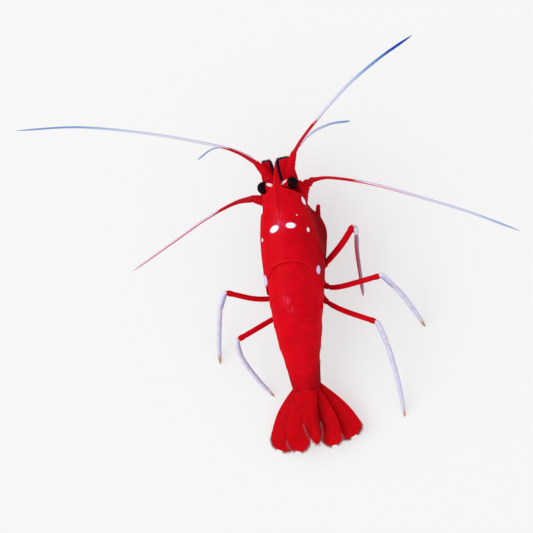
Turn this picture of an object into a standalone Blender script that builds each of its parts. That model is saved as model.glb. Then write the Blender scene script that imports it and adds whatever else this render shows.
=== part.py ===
"""Blood-red cleaner shrimp, life size, standing on its walking legs with its feelers spread.

Lengths are written in millimetres and turned into metres by MM. The head points to +Y, the
animal's right side is +X and the feet stand on Z = 0. The last step moves the whole animal so
that the centre of its footprint box is the origin.
"""

import math

import bmesh
import bpy
from mathutils import Vector

MM = 0.001
GAP = 0.15  # half of the clearance that parts neighbouring plates
SIDES = {"left": -1, "right": 1}

# The abdomen swings to the animal's left from here back, and the tail fan runs straight again.
LEAN_START = 4.0
LEAN_RUN = 30.0
LEAN = 2.75

# Cross-section of the body wall: its widest level, and the steps above and below that on a side.
WIDEST = 0.58
UPPER_STEPS = 6
LOWER_STEPS = 3

# Body stations: ridge y, ridge z, tilt of the ring in degrees (lower margin set back), height,
# half width, and the lower margin's half width as a share of that. The carapace has the first
# five, and each abdomen plate spans a pair of edges.
CARAPACE = [
    (14.3, 14.3, 30, 8.0, 3.5, 1.0),
    (11.6, 14.9, 30, 9.6, 4.5, 1.22),
    (8.2, 15.4, 29, 10.5, 5.15, 0.98),
    (4.6, 15.6, 28, 10.3, 5.4, 0.80),
    (1.5, 15.4, 27, 9.7, 5.15, 0.76),
]
EDGES = [
    (1.2, 15.25, 27, 9.3, 4.95, 0.80),
    (-0.4, 15.4, 21, 9.2, 4.8, 0.82),
    (-3.2, 15.3, 25, 8.9, 4.6, 0.82),
    (-8.3, 14.4, 5, 7.9, 4.2, 0.82),
    (-13.0, 12.4, -8, 6.7, 3.7, 0.82),
    (-16.2, 10.6, -14, 5.6, 3.05, 0.82),
    (-20.9, 8.0, -15, 4.2, 2.5, 0.82),
]
PLEURA_DROP = 0.10  # how far the middle of a plate's lower margin hangs below its corners

# Rostrum: a thin toothed blade that grows from the ridge of the carapace.
ROSTRUM_BACK, ROSTRUM_TIP = (9.6, 15.0), (18.6, 13.2)
ROSTRUM_DEPTH = 1.5
ROSTRUM_THICK = 0.5
DORSAL_TEETH, TOOTH_RISE = 6, 0.5

TELSON_BASE, TELSON_TIP = (-21.3, 7.7), (-31.2, 3.9)
FAN_THICK = 0.55
PLEOPODS = ((0.9, 3.0), (1.25, 3.6), (1.8, 4.3), (1.65, 4.2), (1.35, 3.8))  # distance off the middle, length
EYE_RADIUS = 1.0
EYE_PLACE = (2.75, 14.75, 12.5)
FOOT_RISE = 0.3  # the last stretch of a claw stands upright on its flat
ANKLE_RISE = 1.1  # a claw curves down to that from here

# Paths of the limbs, as points from the body outwards.
WALKING_LEGS = {
    "leg_3_right": ([(2.9, 0.2, 4.3), (3.8, 0.0, 5.3), (8.1, 2.8, 8.5), (11.1, 5.6, 10.0)],
                    [(11.5, 4.9, 9.3), (10.4, 1.4, 6.5), (9.3, -3.5, 2.6), (8.6, -6.4, 0)]),
    "leg_4_right": ([(2.7, -2.2, 4.3), (3.3, -3.7, 5.2), (6.4, -4.6, 7.0), (14.3, -3.3, 9.8)],
                    [(15.0, -3.4, 9.5), (16.8, -6.7, 6.4), (18.0, -10.4, 2.8), (18.7, -13.3, 0)]),
    "leg_5_right": ([(2.2, -4.6, 4.4), (2.7, -6.2, 5.2), (5.2, -8.5, 6.9), (12.2, -10.8, 9.4)],
                    [(12.8, -11.5, 9.1), (13.2, -15.5, 6.6), (13.1, -22.5, 2.8), (12.6, -28.3, 0)]),
    "leg_3_left": ([(-2.9, 0.3, 4.3), (-3.9, 3.2, 4.3), (-4.4, 7.6, 4.4), (-4.6, 12.0, 4.6)],
                   [(-4.9, 12.5, 3.6), (-5.3, 8.0, 2.6), (-5.9, 2.5, 1.6), (-6.2, -2.4, 0)]),
    "leg_4_left": ([(-2.9, -1.7, 4.3), (-4.6, -4.1, 4.9), (-8.6, -4.0, 6.5), (-12.9, -2.2, 9.2)],
                   [(-13.6, -2.3, 9.1), (-15.8, -5.5, 6.5), (-18.0, -10.9, 2.6), (-19.1, -14.4, 0)]),
    "leg_5_left": ([(-3.0, -4.5, 4.4), (-4.4, -6.9, 5.0), (-7.6, -8.3, 6.2), (-12.1, -10.3, 9.0)],
                   [(-12.8, -11.0, 8.9), (-13.0, -14.1, 6.3), (-11.8, -18.2, 2.8), (-10.2, -21.5, 0)]),
}
PICKING_LEGS = {
    "leg_2_right": [(2.9, 2.9, 3.9), (2.0, 6.2, 3.2), (1.7, 11.0, 3.7), (0.9, 14.0, 2.3),
                    (0.4, 15.4, 0)],
    "leg_2_left": [(-2.9, 2.9, 3.9), (-2.1, 6.2, 3.2), (-2.1, 11.0, 3.7), (-2.4, 14.2, 2.3),
                   (-2.5, 15.6, 0)],
}
FOLDED_LEGS = {
    "leg_1_right": [(2.9, 5.2, 4.3), (4.0, 7.6, 5.0), (4.7, 10.2, 6.0), (3.9, 9.2, 4.2),
                    (3.2, 7.4, 3.1)],
    "leg_1_left": [(-2.9, 5.2, 4.3), (-3.0, 7.8, 4.9), (-2.9, 10.3, 5.1), (-2.7, 12.2, 4.5),
                   (-2.3, 13.9, 3.9)],
}
FEELERS = {
    "antennule_long_right": [(3.7, 20.1, 12.0), (5.8, 22.2, 12.9), (11.1, 26.2, 15.3), (16.8, 29.9, 17.5),
                             (22.9, 33.1, 18.9), (29.0, 35.8, 19.5)],
    "antennule_long_left": [(-3.8, 19.5, 12.0), (-6.4, 21.6, 12.8), (-9.9, 23.4, 14.2), (-19.9, 27.0, 17.0),
                            (-31.8, 30.1, 18.5), (-43.6, 31.4, 18.8)],
    "antenna_right": [(4.9, 14.9, 8.6), (8.8, 14.8, 10.0), (16.4, 12.4, 12.2), (24.9, 8.7, 13.1),
                      (32.5, 5.0, 12.5), (40.1, 0.6, 10.0)],
    "antenna_left": [(-6.0, 13.3, 8.5), (-9.2, 13.0, 9.5), (-14.3, 11.1, 10.8), (-20.1, 8.3, 11.3),
                     (-29.6, 4.2, 9.0)],
}
SHORT_FEELERS = {
    "antennule_short_right": [(4.0, 20.3, 11.1), (7.2, 22.9, 11.0), (10.5, 23.9, 10.8),
                              (13.9, 23.7, 10.6)],
    "antennule_short_left": [(-4.3, 20.2, 11.2), (-7.8, 22.2, 11.0), (-11.0, 22.8, 10.8),
                             (-14.3, 21.5, 10.6)],
}
FEELER_SPLIT = 0.24  # share of a long feeler that is its red base

RED = ("red_shell", (0.58, 0.008, 0.018), 0.35)
DEEP_RED = ("deep_red_shell", (0.35, 0.006, 0.012), 0.4)
PALE = ("pale_shell", (0.80, 0.77, 0.88), 0.35)
LILAC = ("lilac_feeler", (0.62, 0.63, 0.90), 0.4)
BLACK = ("eye_black", (0.006, 0.004, 0.006), 0.08)


def clear_scene():
    for old in list(bpy.data.objects):
        bpy.data.objects.remove(old, do_unlink=True)


def finish_of(finish):
    """The material of one finish, made the first time it is asked for."""
    name, colour, roughness = finish
    found = bpy.data.materials.get(name)
    if found:
        return found
    made = bpy.data.materials.new(name)
    made.use_nodes = True
    shader = made.node_tree.nodes["Principled BSDF"]
    shader.inputs["Base Color"].default_value = (*colour, 1)
    shader.inputs["Roughness"].default_value = roughness
    shader.inputs["Metallic"].default_value = 0.0
    return made


def lean(y):
    """Sideways place of the mid-plane at y: zero under the carapace, then off to the left."""
    run = min(max((LEAN_START - y) / LEAN_RUN, 0.0), 1.0)
    return -LEAN * (1 - math.cos(math.pi * run)) / 2


def millimetres(point):
    return Vector(point) * MM


def link(name, data, finish):
    obj = bpy.data.objects.new(name, data)
    SHRIMP.objects.link(obj)
    data.materials.append(finish_of(finish))
    return obj


def smooth_path(points, steps):
    """A Catmull-Rom curve through the points, with that many steps in each span."""
    pts = [Vector(p) for p in points]
    ends = [2 * pts[0] - pts[1], *pts, 2 * pts[-1] - pts[-2]]
    path = []
    for i in range(1, len(ends) - 2):
        a, b, c, d = ends[i - 1 : i + 3]
        for k in range(steps):
            t = k / steps
            path.append(0.5 * (2 * b + (c - a) * t + (2 * a - 5 * b + 4 * c - d) * t * t
                               + (3 * b - 3 * c + d - a) * t ** 3))
    return [*path, pts[-1]]


def tube(name, path, radius_at, finish, resolution=2):
    """A tapered rod along the path. radius_at gives its radius from 0 at the start to 1 at the end."""
    curve = bpy.data.curves.new(name, "CURVE")
    curve.dimensions = "3D"
    curve.bevel_depth = MM
    curve.bevel_resolution = resolution
    curve.use_fill_caps = True
    spline = curve.splines.new("POLY")
    spline.points.add(len(path) - 1)
    for i, (place, point) in enumerate(zip(path, spline.points)):
        point.co = (*millimetres(place), 1)
        point.radius = radius_at(i / (len(path) - 1))
    return link(name, curve, finish)


def taper(start, end):
    return lambda u: start + (end - start) * u


def swell(start, middle, end):
    """Radius that swells to middle halfway along."""
    return lambda u: start + (end - start) * u + (middle - (start + end) / 2) * 4 * u * (1 - u)


def mesh_from(name, bm, finish):
    bmesh.ops.recalc_face_normals(bm, faces=bm.faces)
    mesh = bpy.data.meshes.new(name)
    bm.to_mesh(mesh)
    bm.free()
    obj = link(name, mesh, finish)
    mesh.shade_smooth()
    mesh.set_sharp_from_angle(angle=math.radians(50))
    return obj


def wall_point(station, step):
    """A point of the body wall. Steps count from 0 on the ridge, minus to the left and plus to the right."""
    y, z, tilt, height, half, low = station
    upper = min(abs(step) / UPPER_STEPS, 1.0)
    lower = max(abs(step) - UPPER_STEPS, 0) / LOWER_STEPS
    down = WIDEST * (1 - math.cos(math.pi / 2 * upper)) + (1 - WIDEST) * lower
    across = math.sin(math.pi / 2 * upper) + (low - 1) * lower * lower
    tilt = math.radians(tilt)
    at_y = y - height * down * math.sin(tilt)
    at_z = z - height * down * math.cos(tilt)
    return Vector((lean(at_y) + math.copysign(half * across, step), at_y, at_z))


def body_ring(station):
    most = UPPER_STEPS + LOWER_STEPS
    return [wall_point(station, k) for k in range(-most, most + 1)]


def loft(name, rings, finish):
    """A closed body through rings of equal count, with flat ends. Unlike sections need a hand-built loft."""
    bm = bmesh.new()
    grid = [[bm.verts.new(millimetres(p)) for p in ring] for ring in rings]
    count = len(rings[0])
    for first, second in zip(grid, grid[1:]):
        for k in range(count):
            n = (k + 1) % count
            bm.faces.new((first[k], first[n], second[n], second[k]))
    bm.faces.new(grid[0])
    bm.faces.new(grid[-1][::-1])
    return mesh_from(name, bm, finish)


def between(first, second, share):
    return tuple(a + (b - a) * share for a, b in zip(first, second))


def refined(stations, steps):
    """Stations read from a smooth curve through the given ones."""
    out = []
    padded = [tuple(2 * a - b for a, b in zip(stations[0], stations[1])), *stations,
              tuple(2 * a - b for a, b in zip(stations[-1], stations[-2]))]
    for i in range(1, len(padded) - 2):
        for k in range(steps):
            t = k / steps
            out.append(tuple(0.5 * (2 * b + (c - a) * t + (2 * a - 5 * b + 4 * c - d) * t * t
                                    + (3 * b - 3 * c + d - a) * t ** 3)
                             for a, b, c, d in zip(*padded[i - 1 : i + 3])))
    return [*out, stations[-1]]


def rostrum_outline():
    """Side outline of the blade as (y, z), with forward-leaning teeth on its upper edge."""
    (y0, z0), (y1, z1) = ROSTRUM_BACK, ROSTRUM_TIP

    def on_blade(share, above):
        return (y0 + (y1 - y0) * share, z0 + (z1 - z0) * share + above)

    upper = []
    for k in range(DORSAL_TEETH):
        foot = k / DORSAL_TEETH
        tip = (k + 0.8) / DORSAL_TEETH
        upper.append(on_blade(foot, 0.1))
        upper.append(on_blade(tip, 0.1 + TOOTH_RISE * (1 - 0.6 * foot)))
    lower = [on_blade(share, -ROSTRUM_DEPTH * (1 - share) ** 0.7) for share in (0.8, 0.5, 0.2, 0)]
    return [*upper, (y1, z1), *lower]


def make_rostrum():
    """The blade as a closed mesh: a flat 2D curve, stood upright on the mid-plane."""
    curve = bpy.data.curves.new("rostrum", "CURVE")
    curve.dimensions = "2D"
    curve.fill_mode = "BOTH"
    curve.extrude = ROSTRUM_THICK / 2 * MM
    spline = curve.splines.new("POLY")
    outline = rostrum_outline()
    spline.points.add(len(outline) - 1)
    for (y, z), point in zip(outline, spline.points):
        point.co = (y * MM, z * MM, 0, 1)
    spline.use_cyclic_u = True
    flat = link("rostrum_curve", curve, RED)
    flat.rotation_euler = (math.pi / 2, 0, math.pi / 2)
    bpy.context.view_layer.update()
    graph = bpy.context.evaluated_depsgraph_get()
    bm = bmesh.new()
    bm.from_mesh(bpy.data.meshes.new_from_object(flat.evaluated_get(graph)))
    bmesh.ops.remove_doubles(bm, verts=bm.verts, dist=0.001 * MM)
    bmesh.ops.transform(bm, matrix=flat.matrix_world, verts=bm.verts)
    bpy.data.objects.remove(flat)
    blade = mesh_from("rostrum", bm, RED)
    CUTTERS.objects.link(blade)
    SHRIMP.objects.unlink(blade)
    blade.hide_render = True
    blade.display_type = "WIRE"
    return blade


def make_carapace():
    rings = [body_ring(s) for s in refined(CARAPACE, 2)]
    carapace = loft("carapace", rings, RED)
    join = carapace.modifiers.new("rostrum", "BOOLEAN")
    join.operation = "UNION"
    join.solver = "EXACT"
    join.object = make_rostrum()


def make_abdomen():
    """Six arched plates. Each lower margin hangs in a rounded lobe."""
    for n, (front, back) in enumerate(zip(EDGES, EDGES[1:]), start=1):
        length = math.dist(front[:2], back[:2])
        rings = []
        for k in range(4):
            share = GAP / length + (1 - 2 * GAP / length) * k / 3
            y, z, tilt, height, half, low = between(front, back, share)
            drop = PLEURA_DROP * (4 * share * (1 - share) - 1)
            rings.append(body_ring((y, z, tilt, height * (1 + drop), half, low)))
        loft(f"abdomen_{n}", rings, RED)


def flat_ring(y, top, bottom, half):
    """A rounded box-like section for the underside and the telson."""
    middle, rise = (top + bottom) / 2, (top - bottom) / 2
    ring = []
    for k in range(12):
        angle = math.tau * k / 12
        ring.append(Vector((lean(y) + half * math.copysign(abs(math.cos(angle)) ** 0.6, math.cos(angle)), y,
                            middle + rise * math.copysign(abs(math.sin(angle)) ** 0.6, math.sin(angle)))))
    return ring


def make_underside():
    """The floor of the thorax between the leg bases, running forward into the mouthparts."""
    sections = [(13.2, 7.6, 6.6, 0.7), (11.9, 7.5, 5.6, 1.1), (10.2, 6.6, 4.9, 1.4), (7.0, 5.9, 4.4, 2.1),
                (3.0, 5.3, 3.9, 2.2), (-0.5, 5.5, 4.0, 2.2), (-3.6, 6.1, 4.6, 1.7)]
    loft("thorax_underside", [flat_ring(*s) for s in sections], DEEP_RED)


def make_telson():
    (y0, z0), (y1, z1) = TELSON_BASE, TELSON_TIP
    rings = []
    for k in range(6):
        u = k / 5
        thick = 1.5 + (0.5 - 1.5) * u
        top = z0 + (z1 - z0) * u
        half = 1.75 + (0.5 - 1.75) * u ** 0.8
        rings.append(flat_ring(y0 + (y1 - y0) * u, top, top - thick, half))
    loft("telson", rings, RED)


def blade(name, root, axis, across, length, half_at, thick, finish, camber=0.0, steps=8):
    """A leaf: a grid that follows half_at, arched by camber and given its thickness by Solidify."""
    root, along, side = Vector(root), Vector(axis).normalized(), Vector(across).normalized()
    normal = side.cross(along).normalized()
    bm = bmesh.new()
    bmesh.ops.create_grid(bm, x_segments=4, y_segments=steps, size=1)
    for v in bm.verts:
        w, u = v.co.x, (v.co.y + 1) / 2
        sag = camber * w * w * math.sin(math.pi * u)
        v.co = millimetres(root + along * length * u + side * w * half_at(u) - normal * sag)
    leaf = mesh_from(name, bm, finish)
    solid = leaf.modifiers.new("thickness", "SOLIDIFY")
    solid.thickness = thick * MM
    solid.offset = 0
    return leaf


def leaf_profile(widest, base, tip=0.25, full_at=0.7):
    """Half width of a leaf that widens from its base to full_at and then rounds off."""
    def half(u):
        if u < full_at:
            return base + (widest - base) * math.sin(math.pi / 2 * u / full_at)
        fall = (u - full_at) / (1 - full_at)
        return tip + (widest - tip) * math.sqrt(max(0.0, 1 - fall * fall))
    return half


def make_tail_fan():
    """A pair of leaves on each side of the telson, the outer one lower, spread a little unevenly."""
    base_y = -21.0
    x = lean(base_y)
    leaves = {
        "endopod_right": ((x + 1.3, base_y, 5.6), (0.5, -31.5, 2.8), 1.75),
        "endopod_left": ((x - 1.3, base_y, 5.6), (-6.3, -31.7, 2.8), 1.75),
        "exopod_right": ((x + 1.75, base_y, 4.5), (4.1, -30.7, 1.6), 2.5),
        "exopod_left": ((x - 1.75, base_y, 4.5), (-10.4, -30.9, 1.6), 2.5),
    }
    for name, (root, tip, widest) in leaves.items():
        axis = Vector(tip) - Vector(root)
        blade(f"uropod_{name}", root, axis, (-axis.y, axis.x, 0), axis.length,
              leaf_profile(widest, 0.6, full_at=0.62), FAN_THICK, RED, camber=0.2)


def make_pleopods():
    """Five pairs of swimming paddles, hanging back from the abdomen."""
    for n, (apart, length) in enumerate(PLEOPODS):
        y, z, tilt, height = between(EDGES[n], EDGES[n + 1], 0.5)[:4]
        tilt = math.radians(tilt)
        root_y = y - height * math.sin(tilt) - 0.9
        root_z = z - height * math.cos(tilt) - 0.6
        for side, sign in SIDES.items():
            root = (lean(root_y) + sign * apart, root_y, root_z)
            blade(f"pleopod_{n + 1}_{side}", root, (sign * 0.1, -0.78, -0.6), (1, 0, 0), length,
                  leaf_profile(0.9, 0.45), 0.5, DEEP_RED, steps=4)


def make_eyes():
    x, y, z = EYE_PLACE
    for side, sign in SIDES.items():
        bpy.ops.mesh.primitive_uv_sphere_add(segments=14, ring_count=9, radius=EYE_RADIUS * MM,
                                             location=millimetres((sign * x, y, z)))
        eye = bpy.context.object
        eye.name = f"eye_{side}"
        eye.data.materials.append(finish_of(BLACK))
        eye.data.shade_smooth()
        for home in list(eye.users_collection):
            home.objects.unlink(eye)
        SHRIMP.objects.link(eye)
    stalks = [(-1.55, 14.75, 12.4), (-0.7, 14.55, 12.2), (0.7, 14.55, 12.2), (1.55, 14.75, 12.4)]
    tube("eyestalks", smooth_path(stalks, 3), lambda u: 0.58 + 0.25 * (2 * u - 1) ** 2, RED)


def make_head():
    tips = {"right": (3.4, 19.8, 11.8), "left": (-3.4, 19.1, 11.8)}
    scales = {"right": ((1.75, 13.1, 9.1), (1.25, 19.6, 10.4)),
              "left": ((-2.2, 13.1, 9.1), (-1.95, 19.5, 10.4))}
    antennae = {"right": [(2.7, 11.4, 7.5), (3.3, 13.0, 7.8), (4.3, 14.5, 8.3)],
                "left": [(-3.0, 11.4, 7.5), (-4.2, 12.6, 7.8), (-5.5, 13.2, 8.3)]}
    for side, sign in SIDES.items():
        stem = smooth_path([(sign * 1.0, 13.3, 10.6), (sign * 1.7, 16.3, 10.95), tips[side]], 4)
        tube(f"antennule_base_{side}", stem, swell(0.72, 0.72, 0.5), RED)
        root, tip = scales[side]
        axis = Vector(tip) - Vector(root)
        blade(f"antennal_scale_{side}", root, axis, (1, 0, 0), axis.length,
              leaf_profile(1.15, 0.8, tip=0.8, full_at=0.55), 0.5, RED, steps=6)
        tube(f"antenna_base_{side}", smooth_path(antennae[side], 4), taper(0.9, 0.55), RED)
        jaw_leg = [(sign * 2.0, 10.7, 5.3), (sign * 2.0, 13.2, 5.6), (sign * 1.0, 16.8, 7.3)]
        tube(f"maxilliped_{side}", smooth_path(jaw_leg, 4), taper(0.38, 0.26), RED)


def make_feelers():
    for name, points in FEELERS.items():
        path = smooth_path(points, 5)
        cut = round(FEELER_SPLIT * (len(path) - 1))
        step = (path[cut + 1] - path[cut]).normalized()
        tube(f"{name}_base", path[: cut + 1], taper(0.40, 0.27), RED, resolution=1)
        tip = [path[cut] + 0.3 * step, *path[cut + 1 :]]
        tube(f"{name}_tip", tip, taper(0.27, 0.25), LILAC, resolution=1)
    for name, points in SHORT_FEELERS.items():
        tube(name, smooth_path(points, 4), taper(0.27, 0.25), LILAC, resolution=1)


def to_floor(points, steps):
    """A limb's path whose last stretch is upright, so that its end is a flat on the floor."""
    before, foot = Vector(points[-2]), Vector(points[-1])
    ankle = foot + 0.14 * (before - foot)
    ankle.z = ANKLE_RISE
    raised = foot + Vector((0, 0, FOOT_RISE))
    return [*smooth_path([*points[:-1], ankle, raised], steps), foot]


def make_legs():
    for name, (upper, lower) in WALKING_LEGS.items():
        tube(f"{name}_upper", smooth_path(upper, 4), swell(0.48, 0.42, 0.40), RED)
        tube(f"{name}_lower", to_floor(lower, 4), taper(0.38, 0.26), PALE)
    for name, points in PICKING_LEGS.items():
        tube(name, to_floor(points, 4), taper(0.42, 0.26), PALE)
    for name, points in FOLDED_LEGS.items():
        tube(name, smooth_path(points, 4), taper(0.42, 0.30), RED)


def stand_on_origin():
    """Moves every part so that the middle of the footprint box is the origin. The feet keep Z = 0."""
    bpy.context.view_layer.update()
    graph = bpy.context.evaluated_depsgraph_get()
    corners = []
    for obj in SHRIMP.objects:
        mesh = obj.evaluated_get(graph).to_mesh()
        corners += [obj.matrix_world @ v.co for v in mesh.vertices]
        obj.evaluated_get(graph).to_mesh_clear()
    for axis in (0, 1):
        low = min(c[axis] for c in corners)
        high = max(c[axis] for c in corners)
        for obj in [*SHRIMP.objects, *CUTTERS.objects]:
            obj.location[axis] -= (low + high) / 2


clear_scene()
SHRIMP = bpy.data.collections.new("cleaner_shrimp")
CUTTERS = bpy.data.collections.new("joining_shapes")
bpy.context.scene.collection.children.link(SHRIMP)
bpy.context.scene.collection.children.link(CUTTERS)
make_carapace()
make_abdomen()
make_underside()
make_telson()
make_tail_fan()
make_pleopods()
make_eyes()
make_head()
make_feelers()
make_legs()
stand_on_origin()
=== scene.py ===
# %% [markdown]
# # A blood-red cleaner shrimp, life size
# The animal is a small tropical shrimp, five centimetres from the tip of its beak to the end of
# its tail. It is deep red all over, with a few white spots on its back, white lower legs and long
# pale feelers. This file dresses a plain, measured model of it: every plain part is swapped for a
# finely shaped piece that sits in the same place. Distances are written in millimetres, because
# that is how one measures an animal this small, and turned into metres where a mesh is made.

import math

import bmesh
import bpy
import numpy as np
from mathutils import Matrix, Vector, noise


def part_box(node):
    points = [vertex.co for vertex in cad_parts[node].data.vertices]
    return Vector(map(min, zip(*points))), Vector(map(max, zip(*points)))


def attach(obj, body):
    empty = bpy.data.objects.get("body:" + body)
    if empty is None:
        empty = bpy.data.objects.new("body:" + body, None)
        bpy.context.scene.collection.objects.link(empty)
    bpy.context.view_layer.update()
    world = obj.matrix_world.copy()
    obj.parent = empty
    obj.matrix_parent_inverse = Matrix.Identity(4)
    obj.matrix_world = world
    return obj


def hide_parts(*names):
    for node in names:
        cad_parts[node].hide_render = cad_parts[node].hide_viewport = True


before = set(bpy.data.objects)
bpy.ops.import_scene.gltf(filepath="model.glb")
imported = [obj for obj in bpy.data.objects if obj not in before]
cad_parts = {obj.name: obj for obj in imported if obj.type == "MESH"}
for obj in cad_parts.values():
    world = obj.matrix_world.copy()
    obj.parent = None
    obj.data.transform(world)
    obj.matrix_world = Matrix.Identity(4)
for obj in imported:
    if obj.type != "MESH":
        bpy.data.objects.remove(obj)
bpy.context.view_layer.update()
MM = 0.001
SIDES = {"left": -1, "right": 1}
print("plain parts:", len(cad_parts))

# %% [markdown]
# ## A drawing origin under the head
# The measured model stands with the middle of its footprint on the origin, but a maker draws a
# shrimp from its mid-line. The two eyes give that line: their middle lies on it, 14.75 mm ahead
# of the drawing origin. Everything below is drawn as (across, forward, up), with the animal's
# right on the plus side, and `OFFSET` carries it to its place.

# %% Find the mid-line from the eyes
eye_low, eye_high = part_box("eye_left")[0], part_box("eye_right")[1]
EYES_AHEAD = 14.75
middle = (eye_low + eye_high) / 2 / MM
OFFSET = np.array([middle.x, middle.y - EYES_AHEAD, 0.0])
print("drawing origin at", OFFSET.round(3), "mm")

# %% [markdown]
# ## The viewpoint
# A museum visitor bends over the case: the camera looks down from 60 cm, leaning 16 degrees over
# the animal's right side, and is rolled a little so that the body runs slightly across the
# picture. A long lens keeps the small animal free of distortion. The camera's own axes are
# written out as three vectors, which is easier to check than a set of angles.

# %% Set up the camera
LEAN_OVER, ROLL = math.radians(16), math.radians(9)
CAMERA_AWAY, LENS, SENSOR = 600.0, 235.0, 36.0
BACK, LEFT_BY, UP_BY = Vector((-0.3, 0, 10)), 4.741, 0.603
NEAREST, FURTHEST = 0.01, 20
towards = Vector((math.sin(LEAN_OVER), 0, math.cos(LEAN_OVER)))
level = Vector((math.cos(LEAN_OVER), 0, -math.sin(LEAN_OVER)))
picture_up = Vector((0, 1, 0)) * math.cos(ROLL) + level * math.sin(ROLL)
picture_right = level * math.cos(ROLL) - Vector((0, 1, 0)) * math.sin(ROLL)
aim = BACK - LEFT_BY * picture_right + UP_BY * picture_up + Vector(OFFSET)
camera_data = bpy.data.cameras.new("visitor")
camera_data.lens, camera_data.sensor_width = LENS, SENSOR
camera_data.clip_start, camera_data.clip_end = NEAREST, FURTHEST
camera = bpy.data.objects.new("visitor", camera_data)
bpy.context.scene.collection.objects.link(camera)
axes = Matrix((picture_right, picture_up, towards)).transposed().to_4x4()
camera.matrix_world = Matrix.Translation((aim + CAMERA_AWAY * towards) * MM) @ axes
bpy.context.scene.camera = camera
print("camera height", round(camera.location.z, 3), "m")

# %% [markdown]
# ## Wiring a material with few words
# A material is a small network of nodes. Making each node takes three or four lines, so a few
# short helpers do it: `add` places a node and fills or links its inputs, `calc` does arithmetic,
# `ease` is a soft step and `lay` lays one colour over another. With them a finish reads almost
# like a sentence. `stored` reads a number kept on the mesh, such as how far along a limb a point
# lies.

# %% Helpers that place and link nodes
def add(tree, kind, inputs=None, **settings):
    """Place a node. Each input is either a value or an output socket to link."""
    made = tree.nodes.new(kind)
    for key, value in settings.items():
        setattr(made, key, value)
    for key, value in (inputs or {}).items():
        if isinstance(value, bpy.types.NodeSocket):
            tree.links.new(value, made.inputs[key])
        else:
            made.inputs[key].default_value = value
    return made


def calc(tree, operation, first, second=0.0):
    return add(tree, "ShaderNodeMath", {0: first, 1: second}, operation=operation).outputs[0]


def vector_calc(tree, operation, first, second):
    return add(tree, "ShaderNodeVectorMath", {0: first, 1: second}, operation=operation).outputs["Vector"]


def ease(tree, value, start, end, low=0.0, high=1.0):
    """A soft step: low before start, high after end."""
    ends = {"Value": value, "From Min": start, "From Max": end, "To Min": low, "To Max": high}
    return add(tree, "ShaderNodeMapRange", ends, interpolation_type="SMOOTHSTEP").outputs["Result"]


def lay(tree, colour, over, mask, share=1.0):
    """Lay one colour over another as far as mask times share says. A colour is a value or a socket."""
    if share != 1.0:
        mask = calc(tree, "MULTIPLY", mask, share)
    colour, over = ((*given, 1.0) if isinstance(given, tuple) else given for given in (colour, over))
    return add(tree, "ShaderNodeMix", {0: mask, 6: colour, 7: over}, data_type="RGBA").outputs[2]


def stored(tree, name):
    return add(tree, "ShaderNodeAttribute", attribute_name=name).outputs["Fac"]


print("node helpers ready")

# %% [markdown]
# ## Noise, scattered points and soft patches
# Three more helpers make what nature never leaves out. A soft noise varies gently, scattered points
# give a distance to the nearest of many dots, and `sway` turns a noise into a push to both sides of
# zero, which makes an edge ragged. `share_of_reach` measures how far a point lies from a middle,
# one at the rim of an oval patch.

# %% Helpers for uneven things
def soft_noise(tree, point, scale, detail=2.0, **more):
    inputs = {"Vector": point, "Scale": scale, "Detail": detail, **more}
    return add(tree, "ShaderNodeTexNoise", inputs).outputs["Fac"]


def scattered(tree, point, scale, randomness):
    inputs = {"Vector": point, "Scale": scale, "Randomness": randomness}
    return add(tree, "ShaderNodeTexVoronoi", inputs).outputs["Distance"]


def sway(tree, value, size):
    return calc(tree, "MULTIPLY", calc(tree, "SUBTRACT", value, 0.5), size)


def share_of_reach(tree, apart, reach):
    scaled = vector_calc(tree, "DIVIDE", apart, reach)
    return add(tree, "ShaderNodeVectorMath", {0: scaled}, operation="LENGTH").outputs["Value"]


print("noise helpers ready")

# %% [markdown]
# ## Effects that many finishes share
# A group is a network kept under one name, with its own inputs, so that shell, limbs and feelers
# can all use the same mottling with different sizes. Every group measures in millimetres from the
# point it is handed. This helper starts one: it lists the inputs with their resting values, and
# the outputs, and hands back the two ends of the network.

# %% A helper that starts a shared effect
ORIGIN = (0.0, 0.0, 0.0)


def start_effect(name, inputs, outputs):
    group = bpy.data.node_groups.new(name, "ShaderNodeTree")
    for label, value in inputs.items():
        kind = "NodeSocketVector" if isinstance(value, tuple) else "NodeSocketFloat"
        socket = group.interface.new_socket(label, in_out="INPUT", socket_type=kind)
        socket.default_value = value
    for label in outputs:
        group.interface.new_socket(label, in_out="OUTPUT", socket_type="NodeSocketFloat")
    entry = group.nodes.new("NodeGroupInput").outputs
    leave = group.nodes.new("NodeGroupOutput").inputs
    print("shared effect:", name)
    return group, entry, leave


def use(tree, group, **inputs):
    """Place a shared effect in a material. An input's name has its spaces as underscores."""
    named = {label.replace("_", " "): value for label, value in inputs.items()}
    return add(tree, "ShaderNodeGroup", named, node_tree=group).outputs


# %% [markdown]
# ## Cloudy pigment
# Shrimp red comes from pigment cells scattered under a clear shell. They gather in soft clouds a
# millimetre or two wide, with a fine peppering of darker dots between, eleven times finer. A soft
# noise gives the clouds, and scattered points give the dots.

# %% The pigment clouds
PEPPER_FINER = 11.0
clouds, entry, leave = start_effect("pigment clouds", {"Point": ORIGIN, "Size": 1.5}, ["Cloud", "Pepper"])
cloud_scale = calc(clouds, "DIVIDE", 1.0, entry["Size"])
broad = soft_noise(clouds, entry["Point"], cloud_scale, 3.0, Roughness=0.55)
clouds.links.new(ease(clouds, broad, 0.32, 0.68), leave["Cloud"])
cells = scattered(clouds, entry["Point"], calc(clouds, "MULTIPLY", cloud_scale, PEPPER_FINER), 1.0)
clouds.links.new(ease(clouds, cells, 0.15, 0.5, 1.0, 0.0), leave["Pepper"])

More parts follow.
